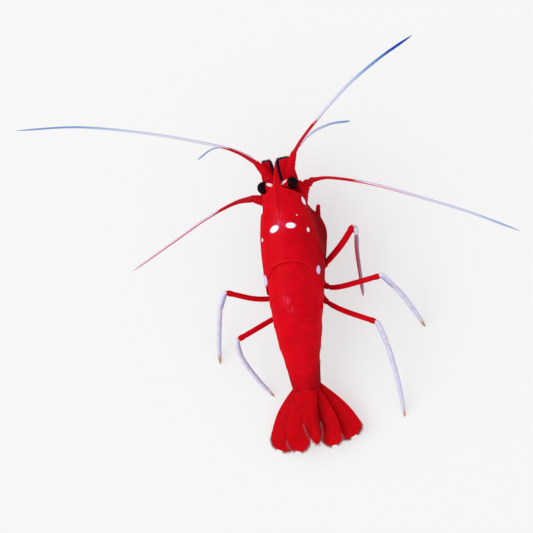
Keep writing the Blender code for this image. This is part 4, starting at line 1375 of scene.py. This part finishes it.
# %% Build the antenna roots
ANTENNA_ROOTS = {"right": [(2.2, 11.0, 7.8), (2.80, 12.8, 8.1), (3.95, 14.45, 8.5)],
                 "left": [(-2.8, 10.9, 7.8), (-4.1, 12.5, 8.0), (-5.5, 13.1, 8.4)]}
CHEEKS = {"right": [(2.0, 11.2, 8.8), (2.9, 12.7, 9.2), (2.9, 14.5, 9.5)],
          "left": [(-2.2, 11.4, 9.0), (-3.3, 12.8, 9.1), (-3.6, 13.8, 9.2)]}
ROOT_JOINTS = ((0, 0.42, 1.00, 1.05), (0.34, 0.62, 0.98, 0.94), (0.55, 0.82, 0.90, 0.84),
               (0.74, 1.0, 0.80, 0.70))
for side_name, points in ANTENNA_ROOTS.items():
    sign = SIDES[side_name]
    line = smooth_line(points, 120)
    node = (f"antenna_base_{side_name}", "red_limb")
    chain("antenna_root", side_name, line, ROOT_JOINTS, *node, tall=0.9, sides=30, belly=0.10)
    lumps = [line[30] + (sign * 0.8, 0.0, -0.1), line[46] + (sign * 0.75, 0.2, 0.1),
             line[46] + (sign * 0.3, 0.3, -0.7)]
    lump_ways = [(sign * 0.9, 0.8, 0), (sign * 0.5, 1, 0.1), (0, 1, -0.4)]
    spines_on(f"antenna_root_spines_{side_name}", lumps, lump_ways, [0.55, 0.75, 0.6], [0.20, 0.16, 0.14],
              limb_red, *node)
    rod(f"cheek_{side_name}", smooth_line(CHEEKS[side_name], 40), lambda u: 1.15 - 0.45 * u, limb_red,
        *node, sides=30, tall=0.85)
print("antenna roots built")

# %% [markdown]
# ## How the feelers run
# Six feelers: a long and a short one on each stem and a long one on each antenna root. Each starts
# in its socket and follows a few points. Its root is thick and sinks to the feeler's own half
# width, which then shrinks evenly to a hair at the end.

# %% Lay out the feelers
FEELER_LINES = {
    "antennule_long_right": [(3.7, 20.1, 12.0), (5.8, 22.2, 12.9), (11.1, 26.2, 15.3), (16.8, 29.9, 17.5),
                             (22.9, 33.1, 18.9), (28.9, 35.75, 19.45)],
    "antennule_long_left": [(-3.8, 19.5, 12.0), (-6.4, 21.6, 12.8), (-9.9, 23.4, 14.2), (-19.9, 27.0, 17.0),
                            (-31.8, 30.1, 18.5), (-43.4, 31.4, 18.8)],
    "antenna_right": [(5.0, 14.85, 8.8), (8.8, 14.65, 10.0), (16.4, 12.4, 12.2), (24.9, 8.7, 13.1),
                      (32.5, 5.0, 12.5), (40.0, 0.6, 10.0)],
    "antenna_left": [(-6.0, 13.3, 8.5), (-9.2, 13.0, 9.5), (-14.3, 11.1, 10.8), (-20.1, 8.3, 11.3),
                     (-29.4, 4.25, 9.05)],
}
SHORT_LINES = {
    "antennule_short_right": [(3.9, 20.6, 11.2), (6.7, 22.7, 11.0), (10.3, 23.75, 10.8),
                              (13.8, 23.7, 10.6)],
    "antennule_short_left": [(-4.4, 20.5, 11.8), (-7.8, 22.45, 11.6), (-11.0, 22.9, 11.0),
                             (-14.1, 21.5, 10.6)],
}
SOCKETS = {"antennule_long_right": (3.25, 19.6, 11.75), "antennule_long_left": (-3.25, 18.95, 11.75),
           "antenna_right": (4.15, 14.3, 8.25), "antenna_left": (-5.2, 13.1, 8.2),
           "antennule_short_right": (3.35, 19.6, 11.5), "antennule_short_left": (-3.3, 19.3, 11.9)}
# half width at the very root, how fast it sinks, then the half widths that it shrinks from and to
THICKNESS = {"antennule_long_right": (0.42, 0.05, 0.27, 0.24),
             "antennule_long_left": (0.42, 0.05, 0.27, 0.15),
             "antenna_right": (0.70, 0.045, 0.28, 0.19), "antenna_left": (0.74, 0.11, 0.29, 0.17)}
BLUNT = {"antennule_short_right": 0.27, "antennule_short_left": 0.20}


def socketed(points, socket, count):
    """The feeler's line, begun in its socket and smoothed where it leaves it."""
    line = smooth_line(points, count)
    whole = np.vstack([np.linspace(np.array(socket, float), line[0], 30)[:-1], line])
    for _ in range(12):
        whole[8:60] = (whole[7:59] + whole[8:60] + whole[9:61]) / 3
    return cut_evenly(whole, count)


print("feelers to make:", len(SOCKETS))

# %% [markdown]
# ## Making the feelers
# A feeler is a chain of rings, a third of a millimetre each, cut into the rod's surface. A long
# one is made as a red root piece and a pale outer piece that slides a little into it, as the plain
# model has it. Fine hairs stand on the rings of the short branches, which do the smelling.

# %% Build the feelers
ROOT_SHARE, OVERLAP, RING_LONG, ROWS_PER_RING = 0.24, 0.004, 0.34, 4


def ring_relief(count, deep):
    def relief(u, angle):
        return 1 - deep * abs(math.cos(math.pi * ((count * u) % 1.0))) ** 6 * np.ones_like(angle)
    return relief


def feeler(name, line, start, end, thick, finish, node, slot, sides):
    """One piece of a feeler, from share start to share end of its whole line."""
    long = run_along(stretch(line, start, end, 200))[-1]
    count = max(3, round(long / RING_LONG))
    part = stretch(line, start, end, count * ROWS_PER_RING + 1)
    return rod(name, part, lambda u: thick(start + (end - start) * u), finish, node, slot, sides=sides,
               relief=ring_relief(count, 0.10), reach=(start, end), ring_count=count)


for name, points in FEELER_LINES.items():
    line = socketed(points, SOCKETS[name], 1600)
    root_half, sink, base, end = THICKNESS[name]

    def thick(s):
        body = (base + (end - base) * s) * (1 - max(0.0, (s - 0.90) / 0.10) ** 2 * 0.8)
        return body + (root_half - base) * math.exp(-(s / sink) ** 1.4)

    feeler(f"{name}_root", line, 0.0, ROOT_SHARE, thick, FEELERS[name], f"{name}_base", "red_limb", 20)
    feeler(f"{name}_lash", line, ROOT_SHARE - OVERLAP, 1.0, lambda s: thick(s) * 0.985, FEELERS[name],
           f"{name}_tip", "pale_feeler", 16)
for name, points in SHORT_LINES.items():
    line = socketed(points, SOCKETS[name], 1000)
    feeler(f"{name}_lash", line, 0.0, 1.0,
           lambda s: BLUNT[name] * (1 - 0.35 * s) * (1 - max(0.0, (s - 0.92) / 0.08) ** 2 * 0.6),
           FEELERS["antennule_short"], name, "pale_feeler", 16)
    places = line[60:900:9]
    tangent = directions(places)
    aside = np.cross(tangent, (0.0, 0.0, 1.0)) * dice.choice([-0.5, 0.5], (len(places), 1))
    below = unit(aside + (0, 0, -1.0))
    hairs(f"{name}_hairs", places + below * 0.15, below + tangent * 0.7, 0.30, 0.014, pale_hair, name,
          "pale_feeler")
print("feelers:", len(FEELER_LINES) + len(SHORT_LINES))

# %% [markdown]
# ## The mouth
# From in front and below a shrimp's mouth is a bundle: an upper lip, a pair of hard jaws, leaf-like
# lower jaws that overlap like tiles, a folded second pair of jaw feet, and in front of everything
# the long, hairy outer jaw feet. They are small, but a bare gap there is what gives a model away.

# %% Build the mouthparts
# out and back from the mid-line of the mouth, height, and half width of each lower jaw
TILES = ((0.55, 11.3, 5.2, 0.55), (0.95, 10.6, 4.95, 0.70), (1.25, 9.8, 4.75, 0.75))
lip = smooth_line([(0, 12.2, 7.3), (0, 12.9, 6.6), (0, 12.7, 5.9)], 30)
rod("upper_lip", lip, lambda u: 0.55 + 0.25 * math.sin(math.pi * u), flesh_red, *UNDERSIDE, sides=24,
    tall=0.8)
for side_name, sign in SIDES.items():
    jaw = smooth_line([(sign * 1.5, 11.2, 6.6), (sign * 1.0, 11.9, 5.9), (sign * 0.25, 12.2, 5.6)], 30)
    segment(f"jaw_{side_name}", jaw, 0.50, 0.36, limb_red, *UNDERSIDE, tall=1.2)
    for n, (out_x, back_y, low_z, broad) in enumerate(TILES, start=1):
        tile = leaf_shape((sign * (out_x + 0.7), back_y - 1.0, low_z + 0.15),
                          (sign * out_x * 0.55, back_y + 1.2, low_z + 0.1), (sign, 0.3, -0.3), 0.1, 0.24,
                          (0.2, broad, 0.6, 0.05), (0.2, broad * 0.8, 0.6, 0.05))
        leaf(f"jaw_tile_{n}_{side_name}", tile, flesh_red, *UNDERSIDE, rows=30, sides=28)
        fringe(f"jaw_tile_hairs_{n}_{side_name}", tile, [(-1.0, 0.5, 0.99), (1.0, 0.8, 0.99)], 0.09, 0.30,
               0.022, red_hair, *UNDERSIDE)
    folded = smooth_line([(sign * 1.7, 9.6, 4.9), (sign * 1.75, 11.4, 4.9), (sign * 1.3, 12.6, 5.3),
                          (sign * 0.7, 12.6, 4.7), (sign * 0.55, 11.8, 4.4)], 90)
    chain("inner_jaw_foot", side_name, folded,
          ((0, 0.45, 0.34, 0.38), (0.42, 0.78, 0.36, 0.34), (0.75, 1.0, 0.32, 0.2)), *UNDERSIDE, tall=0.8)
print("mouth built")

# %% [markdown]
# ## The outer jaw feet
# The last pair of jaw feet reach forward under the head, past the stems. Each has three segments
# that thin towards the end, and a brush of red hairs along its inner side.

# %% Build the outer jaw feet
for side_name, sign in SIDES.items():
    node = (f"maxilliped_{side_name}", "red_limb")
    line = smooth_line([(sign * 1.9, 10.0, 5.1), (sign * 1.7, 12.6, 5.5), (0.45 + sign * 1.1, 14.6, 6.3),
                        (1.1 if sign > 0 else -1.9, 16.2, 7.1)], 150)
    chain("outer_jaw_foot", side_name, line,
          ((0, 0.40, 0.42, 0.38), (0.38, 0.62, 0.36, 0.33), (0.60, 1.0, 0.31, 0.13)), *node,
          tall=0.85, belly=0.05)
    brush = line[10:146:2]
    count = len(brush)
    wave = -0.5 + 0.5 * np.sin(np.arange(count) * 2.1)
    ways = np.stack([np.full(count, -sign), np.full(count, 0.7), wave], 1)
    hairs(f"outer_jaw_foot_hairs_{side_name}", brush + unit(ways) * 0.2,
          ways + dice.normal(0, 0.15, ways.shape), 0.65, 0.022, red_hair, *node)
print("outer jaw feet built")

# %% [markdown]
# ## Where the legs go and how they differ
# Three pairs of long legs carry the animal. The places of their joints are close to those of the
# plain model. Most legs are alike, so one row of settings serves them: the third right leg is
# slimmer and mauve, and the fourth pair have tan claws. Every leg starts at a stout hip on the
# breastplate.

# %% Lay out the walking legs
LEG_LINES = {
    "leg_3_right": ([(2.9, 0.2, 4.3), (3.8, 0.0, 5.3), (8.1, 2.8, 8.5), (11.1, 5.6, 10.0)],
                    [(11.5, 4.9, 9.3), (10.4, 1.4, 6.5), (9.3, -3.5, 2.6), (8.6, -6.4, 0)]),
    "leg_4_right": ([(2.7, -2.2, 4.3), (3.5, -3.5, 5.2), (6.4, -4.1, 7.0), (14.3, -3.3, 9.8)],
                    [(15.0, -3.4, 9.5), (16.8, -6.7, 6.4), (18.0, -10.4, 2.8), (18.7, -13.3, 0)]),
    "leg_5_right": ([(2.2, -4.6, 4.4), (3.1, -6.1, 5.2), (6.2, -8.1, 6.9), (12.2, -10.8, 9.4)],
                    [(12.8, -11.5, 9.1), (13.2, -15.5, 6.6), (13.1, -22.5, 2.8), (12.6, -28.3, 0)]),
    "leg_3_left": ([(-2.9, 0.3, 4.3), (-3.9, 3.2, 4.3), (-4.4, 7.6, 4.4), (-4.6, 12.0, 4.6)],
                   [(-4.9, 12.5, 3.6), (-5.3, 8.0, 2.6), (-5.9, 2.5, 1.6), (-6.2, -2.4, 0)]),
    "leg_4_left": ([(-2.9, -1.7, 4.3), (-4.6, -4.1, 4.9), (-8.6, -4.0, 6.5), (-12.9, -2.2, 9.2)],
                   [(-13.6, -2.3, 9.1), (-15.8, -5.5, 6.5), (-18.0, -10.9, 2.6), (-19.1, -14.4, 0)]),
    "leg_5_left": ([(-3.0, -4.5, 4.4), (-4.4, -6.9, 5.0), (-7.6, -8.3, 6.2), (-12.1, -10.3, 9.0)],
                   [(-12.8, -11.0, 8.9), (-13.0, -14.1, 6.3), (-11.8, -18.2, 2.8), (-10.2, -21.5, 0)]),
}
# finishes of shin and claw, share where the wrist ends, half widths of upper leg, shin and foot
USUAL_LEG = (leg_white, claw_white, 0.24, 0.46, 0.47, 0.37)
TAN_LEG = (leg_white, claw_tan, 0.24, 0.46, 0.47, 0.39)
LEG_LOOKS = {"leg_3_right": (leg_mauve, leg_mauve, 0.09, 0.53, 0.40, 0.29),
             "leg_4_right": TAN_LEG, "leg_4_left": TAN_LEG}


def hip(leg_name, points):
    """The stout first joint, from the breastplate out to the leg's root."""
    root = np.array(points[0], float)
    way = unit(np.array(points[1]) - np.array(points[0]))
    inner_end = root - (np.sign(root[0]) * 1.25, 0, -0.25)
    line = smooth_line([inner_end, (inner_end + root) / 2 + (0, 0, -0.15), root + way * 0.35], 26)
    segment(f"{leg_name}_hip", line, 0.62, 0.52, flesh_red, *UNDERSIDE, belly=0.2)


print("walking legs to make:", len(LEG_LINES))

# %% [markdown]
# ## The walking legs
# Beyond its hip each leg has a short thigh, a long red upper leg up to a high knee, then a wrist,
# a long shin, and a curved claw on which it stands. Little spines run down the back of the shin,
# the claw has two smaller teeth, and fine red hairs stand on the upper leg.

# %% Build the walking legs
CLAW_LIFT, PAST_KNEE = (0, 0, 0.07), 0.25
for leg_name, (upper, lower) in LEG_LINES.items():
    leg_pale, claw_pale, wrist_end, upper_half, shin_half, foot_half = LEG_LOOKS.get(leg_name, USUAL_LEG)
    red, pale = (f"{leg_name}_upper", "red_limb"), (f"{leg_name}_lower", "pale_limb")
    hip(leg_name, upper)
    top_line = smooth_line(upper, 200)
    last_stretch = np.array(upper[-1]) - np.array(upper[-2])
    knee = np.array(upper[-1]) + PAST_KNEE * last_stretch / math.dist(upper[-1], upper[-2])
    low_line = smooth_line([knee, *lower[:-1], np.array(lower[-1]) + CLAW_LIFT], 400)
    segment(f"{leg_name}_thigh", stretch(top_line, 0.0, 0.17), upper_half + 0.04, upper_half + 0.04,
            limb_red, *red)
    segment(f"{leg_name}_upper_leg", stretch(top_line, 0.15, 1.0, 60), upper_half, upper_half + 0.01,
            limb_red, *red, tall=1.1, belly=0.02, collar=0.12)
    segment(f"{leg_name}_wrist", stretch(low_line, 0.0, wrist_end, 40), 0.47, 0.47, leg_white, *pale,
            belly=0.04, collar=0.05)
    segment(f"{leg_name}_shin", stretch(low_line, wrist_end - 0.015, 0.88, 80), shin_half, foot_half,
            leg_pale, *pale, belly=0.05, collar=0.05)
    rod(f"{leg_name}_claw", stretch(low_line, 0.865, 1.0, 30),
        lambda u: (foot_half - 0.02) * (1 - u) ** 0.55 + 0.02, claw_pale, *pale, sides=16, tall=1.15,
        round_end=False)
    shin = stretch(low_line, 0.30, 0.88, 22)
    shin_way = directions(shin)
    behind = unit(np.cross(shin_way, np.cross(shin_way, (0.0, 0.0, 1.0))))
    spines_on(f"{leg_name}_shin_spines", shin + behind * 0.35, behind + 1.2 * shin_way, 0.34, 0.035,
              pale_hair, *pale)
    tooth = stretch(low_line, 0.915, 0.945, 2) + behind[-1] * 0.08
    tooth_ways = np.tile(unit(0.8 * behind[-1] + 1.4 * shin_way[-1]), (2, 1))
    tooth_ways[:, 2] = np.maximum(tooth_ways[:, 2], -(tooth[:, 2] - 0.10) / 0.36)
    spines_on(f"{leg_name}_claw_teeth", tooth, tooth_ways, [0.30, 0.34], 0.06, claw_white, *pale)
    upper_hair = stretch(top_line, 0.25, 0.97, 26)
    hair_way = directions(upper_hair)
    round_way = unit(np.cross(hair_way, dice.normal(0, 1, hair_way.shape)))
    spines_on(f"{leg_name}_upper_hairs", upper_hair + round_way * 0.42, round_way + 0.9 * hair_way, 0.30,
              0.018, red_hair, *red)
print("walking legs:", len(LEG_LINES))

# %% [markdown]
# ## The picking legs
# The second pair are long, thin and pale, with a wrist of some twenty tiny rings, like a bead
# chain, and a small pair of pincers: they do the cleaning. A pincer is a palm, a fixed finger and
# a finger that moves.

# %% Build the second legs
def pincer(leg_name, wrist_end, way, size, finish, finger_finish, node, slot):
    wrist_end, way = np.array(wrist_end, float), unit(np.array(way, float))
    side = unit(np.cross(way, (0.3, 0.2, 1.0)))
    palm = smooth_line([wrist_end, wrist_end + way * size * 0.5, wrist_end + way * size], 26)
    segment(f"{leg_name}_palm", palm, size * 0.19, size * 0.20, finish, node, slot, tall=0.8, belly=0.2)
    for finger, out_by in (("fixed_finger", -1), ("moving_finger", 1)):
        root = wrist_end + way * size * 0.96 + side * out_by * size * 0.09
        line = smooth_line([root, root + way * size * 0.4 + side * out_by * size * 0.06,
                            root + way * size * 0.78 - side * out_by * size * 0.05], 26)
        rod(f"{leg_name}_{finger}", line, lambda u: size * (0.095 * (1 - u) ** 0.7 + 0.012), finger_finish,
            node, slot, sides=14)


BEADS, CLAW_START = 22, 0.885
PICKING_LINES = {
    "leg_2_right": [(2.9, 2.9, 3.9), (2.0, 6.2, 3.2), (1.7, 11.0, 3.7), (0.9, 14.0, 2.3), (0.4, 15.3, 0.6)],
    "leg_2_left": [(-2.9, 2.9, 3.9), (-2.1, 6.2, 3.2), (-2.1, 11.0, 3.7), (-2.4, 14.2, 2.3),
                   (-2.5, 15.5, 0.6)],
}
for leg_name, points in PICKING_LINES.items():
    node = (leg_name, "pale_limb")
    hip(leg_name, points)
    line = smooth_line(points, 600)
    segment(f"{leg_name}_thigh", stretch(line, 0.0, 0.14), 0.38, 0.36, leg_white, *node)
    segment(f"{leg_name}_upper_leg", stretch(line, 0.13, 0.45, 50), 0.31, 0.27, leg_white, *node)
    rod(f"{leg_name}_bead_wrist", stretch(line, 0.44, CLAW_START, BEADS * 6 + 1), lambda u: 0.20 + 0.04 * u,
        leg_white, *node, sides=16, relief=ring_relief(BEADS, 0.22), ring_count=BEADS)
    pincer(leg_name, stretch(line, CLAW_START, CLAW_START, 1)[0], line[-1] - line[-30], 0.92, leg_white,
           claw_white, *node)
print("picking legs:", len(PICKING_LINES))

# %% [markdown]
# ## The folded legs
# The first pair are short, stout, red and folded up under the head. On the right side the bent
# joint shows as a red stub. They end in pincers too, larger ones.

# %% Build the first legs
FOLDED_LINES = {
    "leg_1_right": [(2.9, 5.2, 4.3), (4.0, 7.6, 5.0), (4.7, 10.2, 6.0), (3.9, 9.2, 4.2), (3.2, 7.4, 3.1)],
    "leg_1_left": [(-2.9, 5.2, 4.3), (-3.0, 7.8, 4.9), (-2.9, 10.3, 5.1), (-2.7, 12.2, 4.5),
                   (-2.3, 13.9, 3.9)],
}
FOLDED_PARTS = (("thigh", 0.0, 0.16, 0.42, 0.42), ("upper_leg", 0.15, 0.50, 0.40, 0.30),
                ("wrist", 0.49, 0.70, 0.30, 0.34))
for leg_name, points in FOLDED_LINES.items():
    hip(leg_name, points)
    line = smooth_line(points, 400)
    for part, start, end, first, last in FOLDED_PARTS:
        segment(f"{leg_name}_{part}", stretch(line, start, end, 40), first, last, limb_red, leg_name,
                "red_limb")
    pincer(leg_name, stretch(line, 0.69, 0.69, 1)[0], line[-1] - line[280], 1.75, limb_red, limb_red,
           leg_name, "red_limb")
print("folded legs:", len(FOLDED_LINES))

# %% [markdown]
# ## The swimming legs
# Five pairs of paddles hang under the abdomen, folded back. Each is a stout stalk with two thin
# leaves, the outer one longer, and long hairs round the edge of both, which spread into a fan on
# the power stroke. They are set at the belly bars.

# %% Build the swimming legs
# how far out and how long each pair is, and the branches: name, shift outwards, length, half width
PADDLES = ((0.8, 3.0), (1.0, 3.6), (1.1, 4.3), (0.85, 4.2), (0.65, 3.8))
BRANCHES = (("outer", 0.30, 1.0, 0.55), ("inner", -0.34, 0.88, 0.42))
for number, (out_by, long) in enumerate(PADDLES, start=1):
    y, z, tilt, height = station(TAIL_STATIONS, np.array(number - 0.5))[:4]
    root_y = float(y - height * math.sin(math.radians(tilt)) - 0.9)
    root_z = float(z - height * math.cos(math.radians(tilt)) - 0.6)
    for side_name, sign in SIDES.items():
        name, node = f"paddle_{number}_{side_name}", (f"pleopod_{number}_{side_name}", "underside")
        way = unit((sign * 0.1, -0.78, -0.6))
        root = np.array((float(lean(root_y)) + sign * out_by, root_y, root_z))
        stalk = smooth_line([root + (0, 0.75, 1.0), root + (0, 0.35, 0.45), root + way * long * 0.30], 26)
        segment(f"{name}_stalk", stalk, 0.50, 0.44, flesh_red, *node, tall=0.75)
        for branch, shift, share, broad in BRANCHES:
            start = root + way * long * 0.27 + (sign * shift * 0.6, 0, -0.02)
            tip = start + way * long * (share * 0.63) + (sign * shift * 0.6, 0, 0)
            shape = leaf_shape(start, tip, (sign, 0, 0), 0.10, 0.22, (0.2, broad, 0.5, 0.04))
            leaf(f"{name}_{branch}", shape, flesh_red, *node, [(0.0, 0.05, 0.12)], rows=36,
                 sides=28)
            fringe(f"{name}_{branch}_hairs", shape, [(1.0, 0.2, 0.995), (-1.0, 0.2, 0.995)], 0.11, 0.42,
                   0.020, red_hair, *node)
print("swimming legs:", 2 * len(PADDLES))

# %% [markdown]
# ## The table
# The model stands on a pale studio table that runs far out on all sides. The table has a faint
# grain, because even plain laminate isn't one flat value. It glows a little of its own, like a
# light table, which keeps the shadows on it faint.

# %% Build the table
TABLE_GLOW, TABLE_HALF, TABLE_STEPS = 0.56, 3.0, 25
table_finish, tree, shader, point = start_finish("pale_table", specular=0.2)
grain = soft_noise(tree, point, 0.6, 3.0)
wire(tree, shader, lay(tree, (0.34, 0.34, 0.342), (0.35, 0.35, 0.35), grain),
     ease(tree, grain, 0.3, 0.7, 0.7, 0.8), grain, 0.005)
shader.inputs["Emission Color"].default_value = (1, 1, 1, 1)
shader.inputs["Emission Strength"].default_value = TABLE_GLOW
steps = squarish(np.linspace(-1, 1, TABLE_STEPS), 2) * TABLE_HALF
table_points = [(x, y, 0.0) for y in steps for x in steps]
table_faces = [tuple(reversed(face)) for face in skin(TABLE_STEPS, TABLE_STEPS, False)]
table_mesh = bpy.data.meshes.new("table")
table_mesh.from_pydata(table_points, [], table_faces)
table_mesh.materials.append(table_finish)
table = bpy.data.objects.new("table", table_mesh)
bpy.context.scene.collection.objects.link(table)
print("table half side:", TABLE_HALF, "m")

# %% [markdown]
# ## The light
# Three large soft lamps give a broad key from the animal's upper left, a weak fill from its right
# and another from the tail, and the white room round them lights the rest. Large lamps make the
# shadows as soft as those under a cloudy sky.

# %% Hang the lamps
AIM_AT, ROOM_LIGHT = Vector((0, 0, 0.01)), 0.70


def lamp(name, place, size, power):
    """A square soft lamp at place, in metres, that faces the model."""
    data = bpy.data.lights.new(name, "AREA")
    data.shape, data.size, data.energy = "SQUARE", size, power
    made = bpy.data.objects.new(name, data)
    bpy.context.scene.collection.objects.link(made)
    made.location = place
    made.rotation_euler = (AIM_AT - Vector(place)).to_track_quat("-Z", "Y").to_euler()


lamp("key", (-0.62, 0.20, 0.82), 1.1, 5.2)
lamp("fill", (0.70, 0.35, 0.80), 1.0, 0.6)
lamp("tail_side", (0.1, -0.90, 0.8), 1.0, 1.2)
world = bpy.data.worlds.new("studio")
bpy.context.scene.world = world
world.use_nodes = True
room = world.node_tree.nodes["Background"]
room.inputs["Color"].default_value = (1, 1, 1, 1)
room.inputs["Strength"].default_value = ROOM_LIGHT
bpy.context.scene.view_settings.view_transform = "Standard"
print("lamps:", len(bpy.data.lights))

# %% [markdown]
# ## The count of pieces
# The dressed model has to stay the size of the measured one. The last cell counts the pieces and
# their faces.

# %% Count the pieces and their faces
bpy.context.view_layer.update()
bpy.context.view_layer.update()
print("pieces:", len(PIECES), "faces:", sum(len(piece.data.polygons) for piece in PIECES))
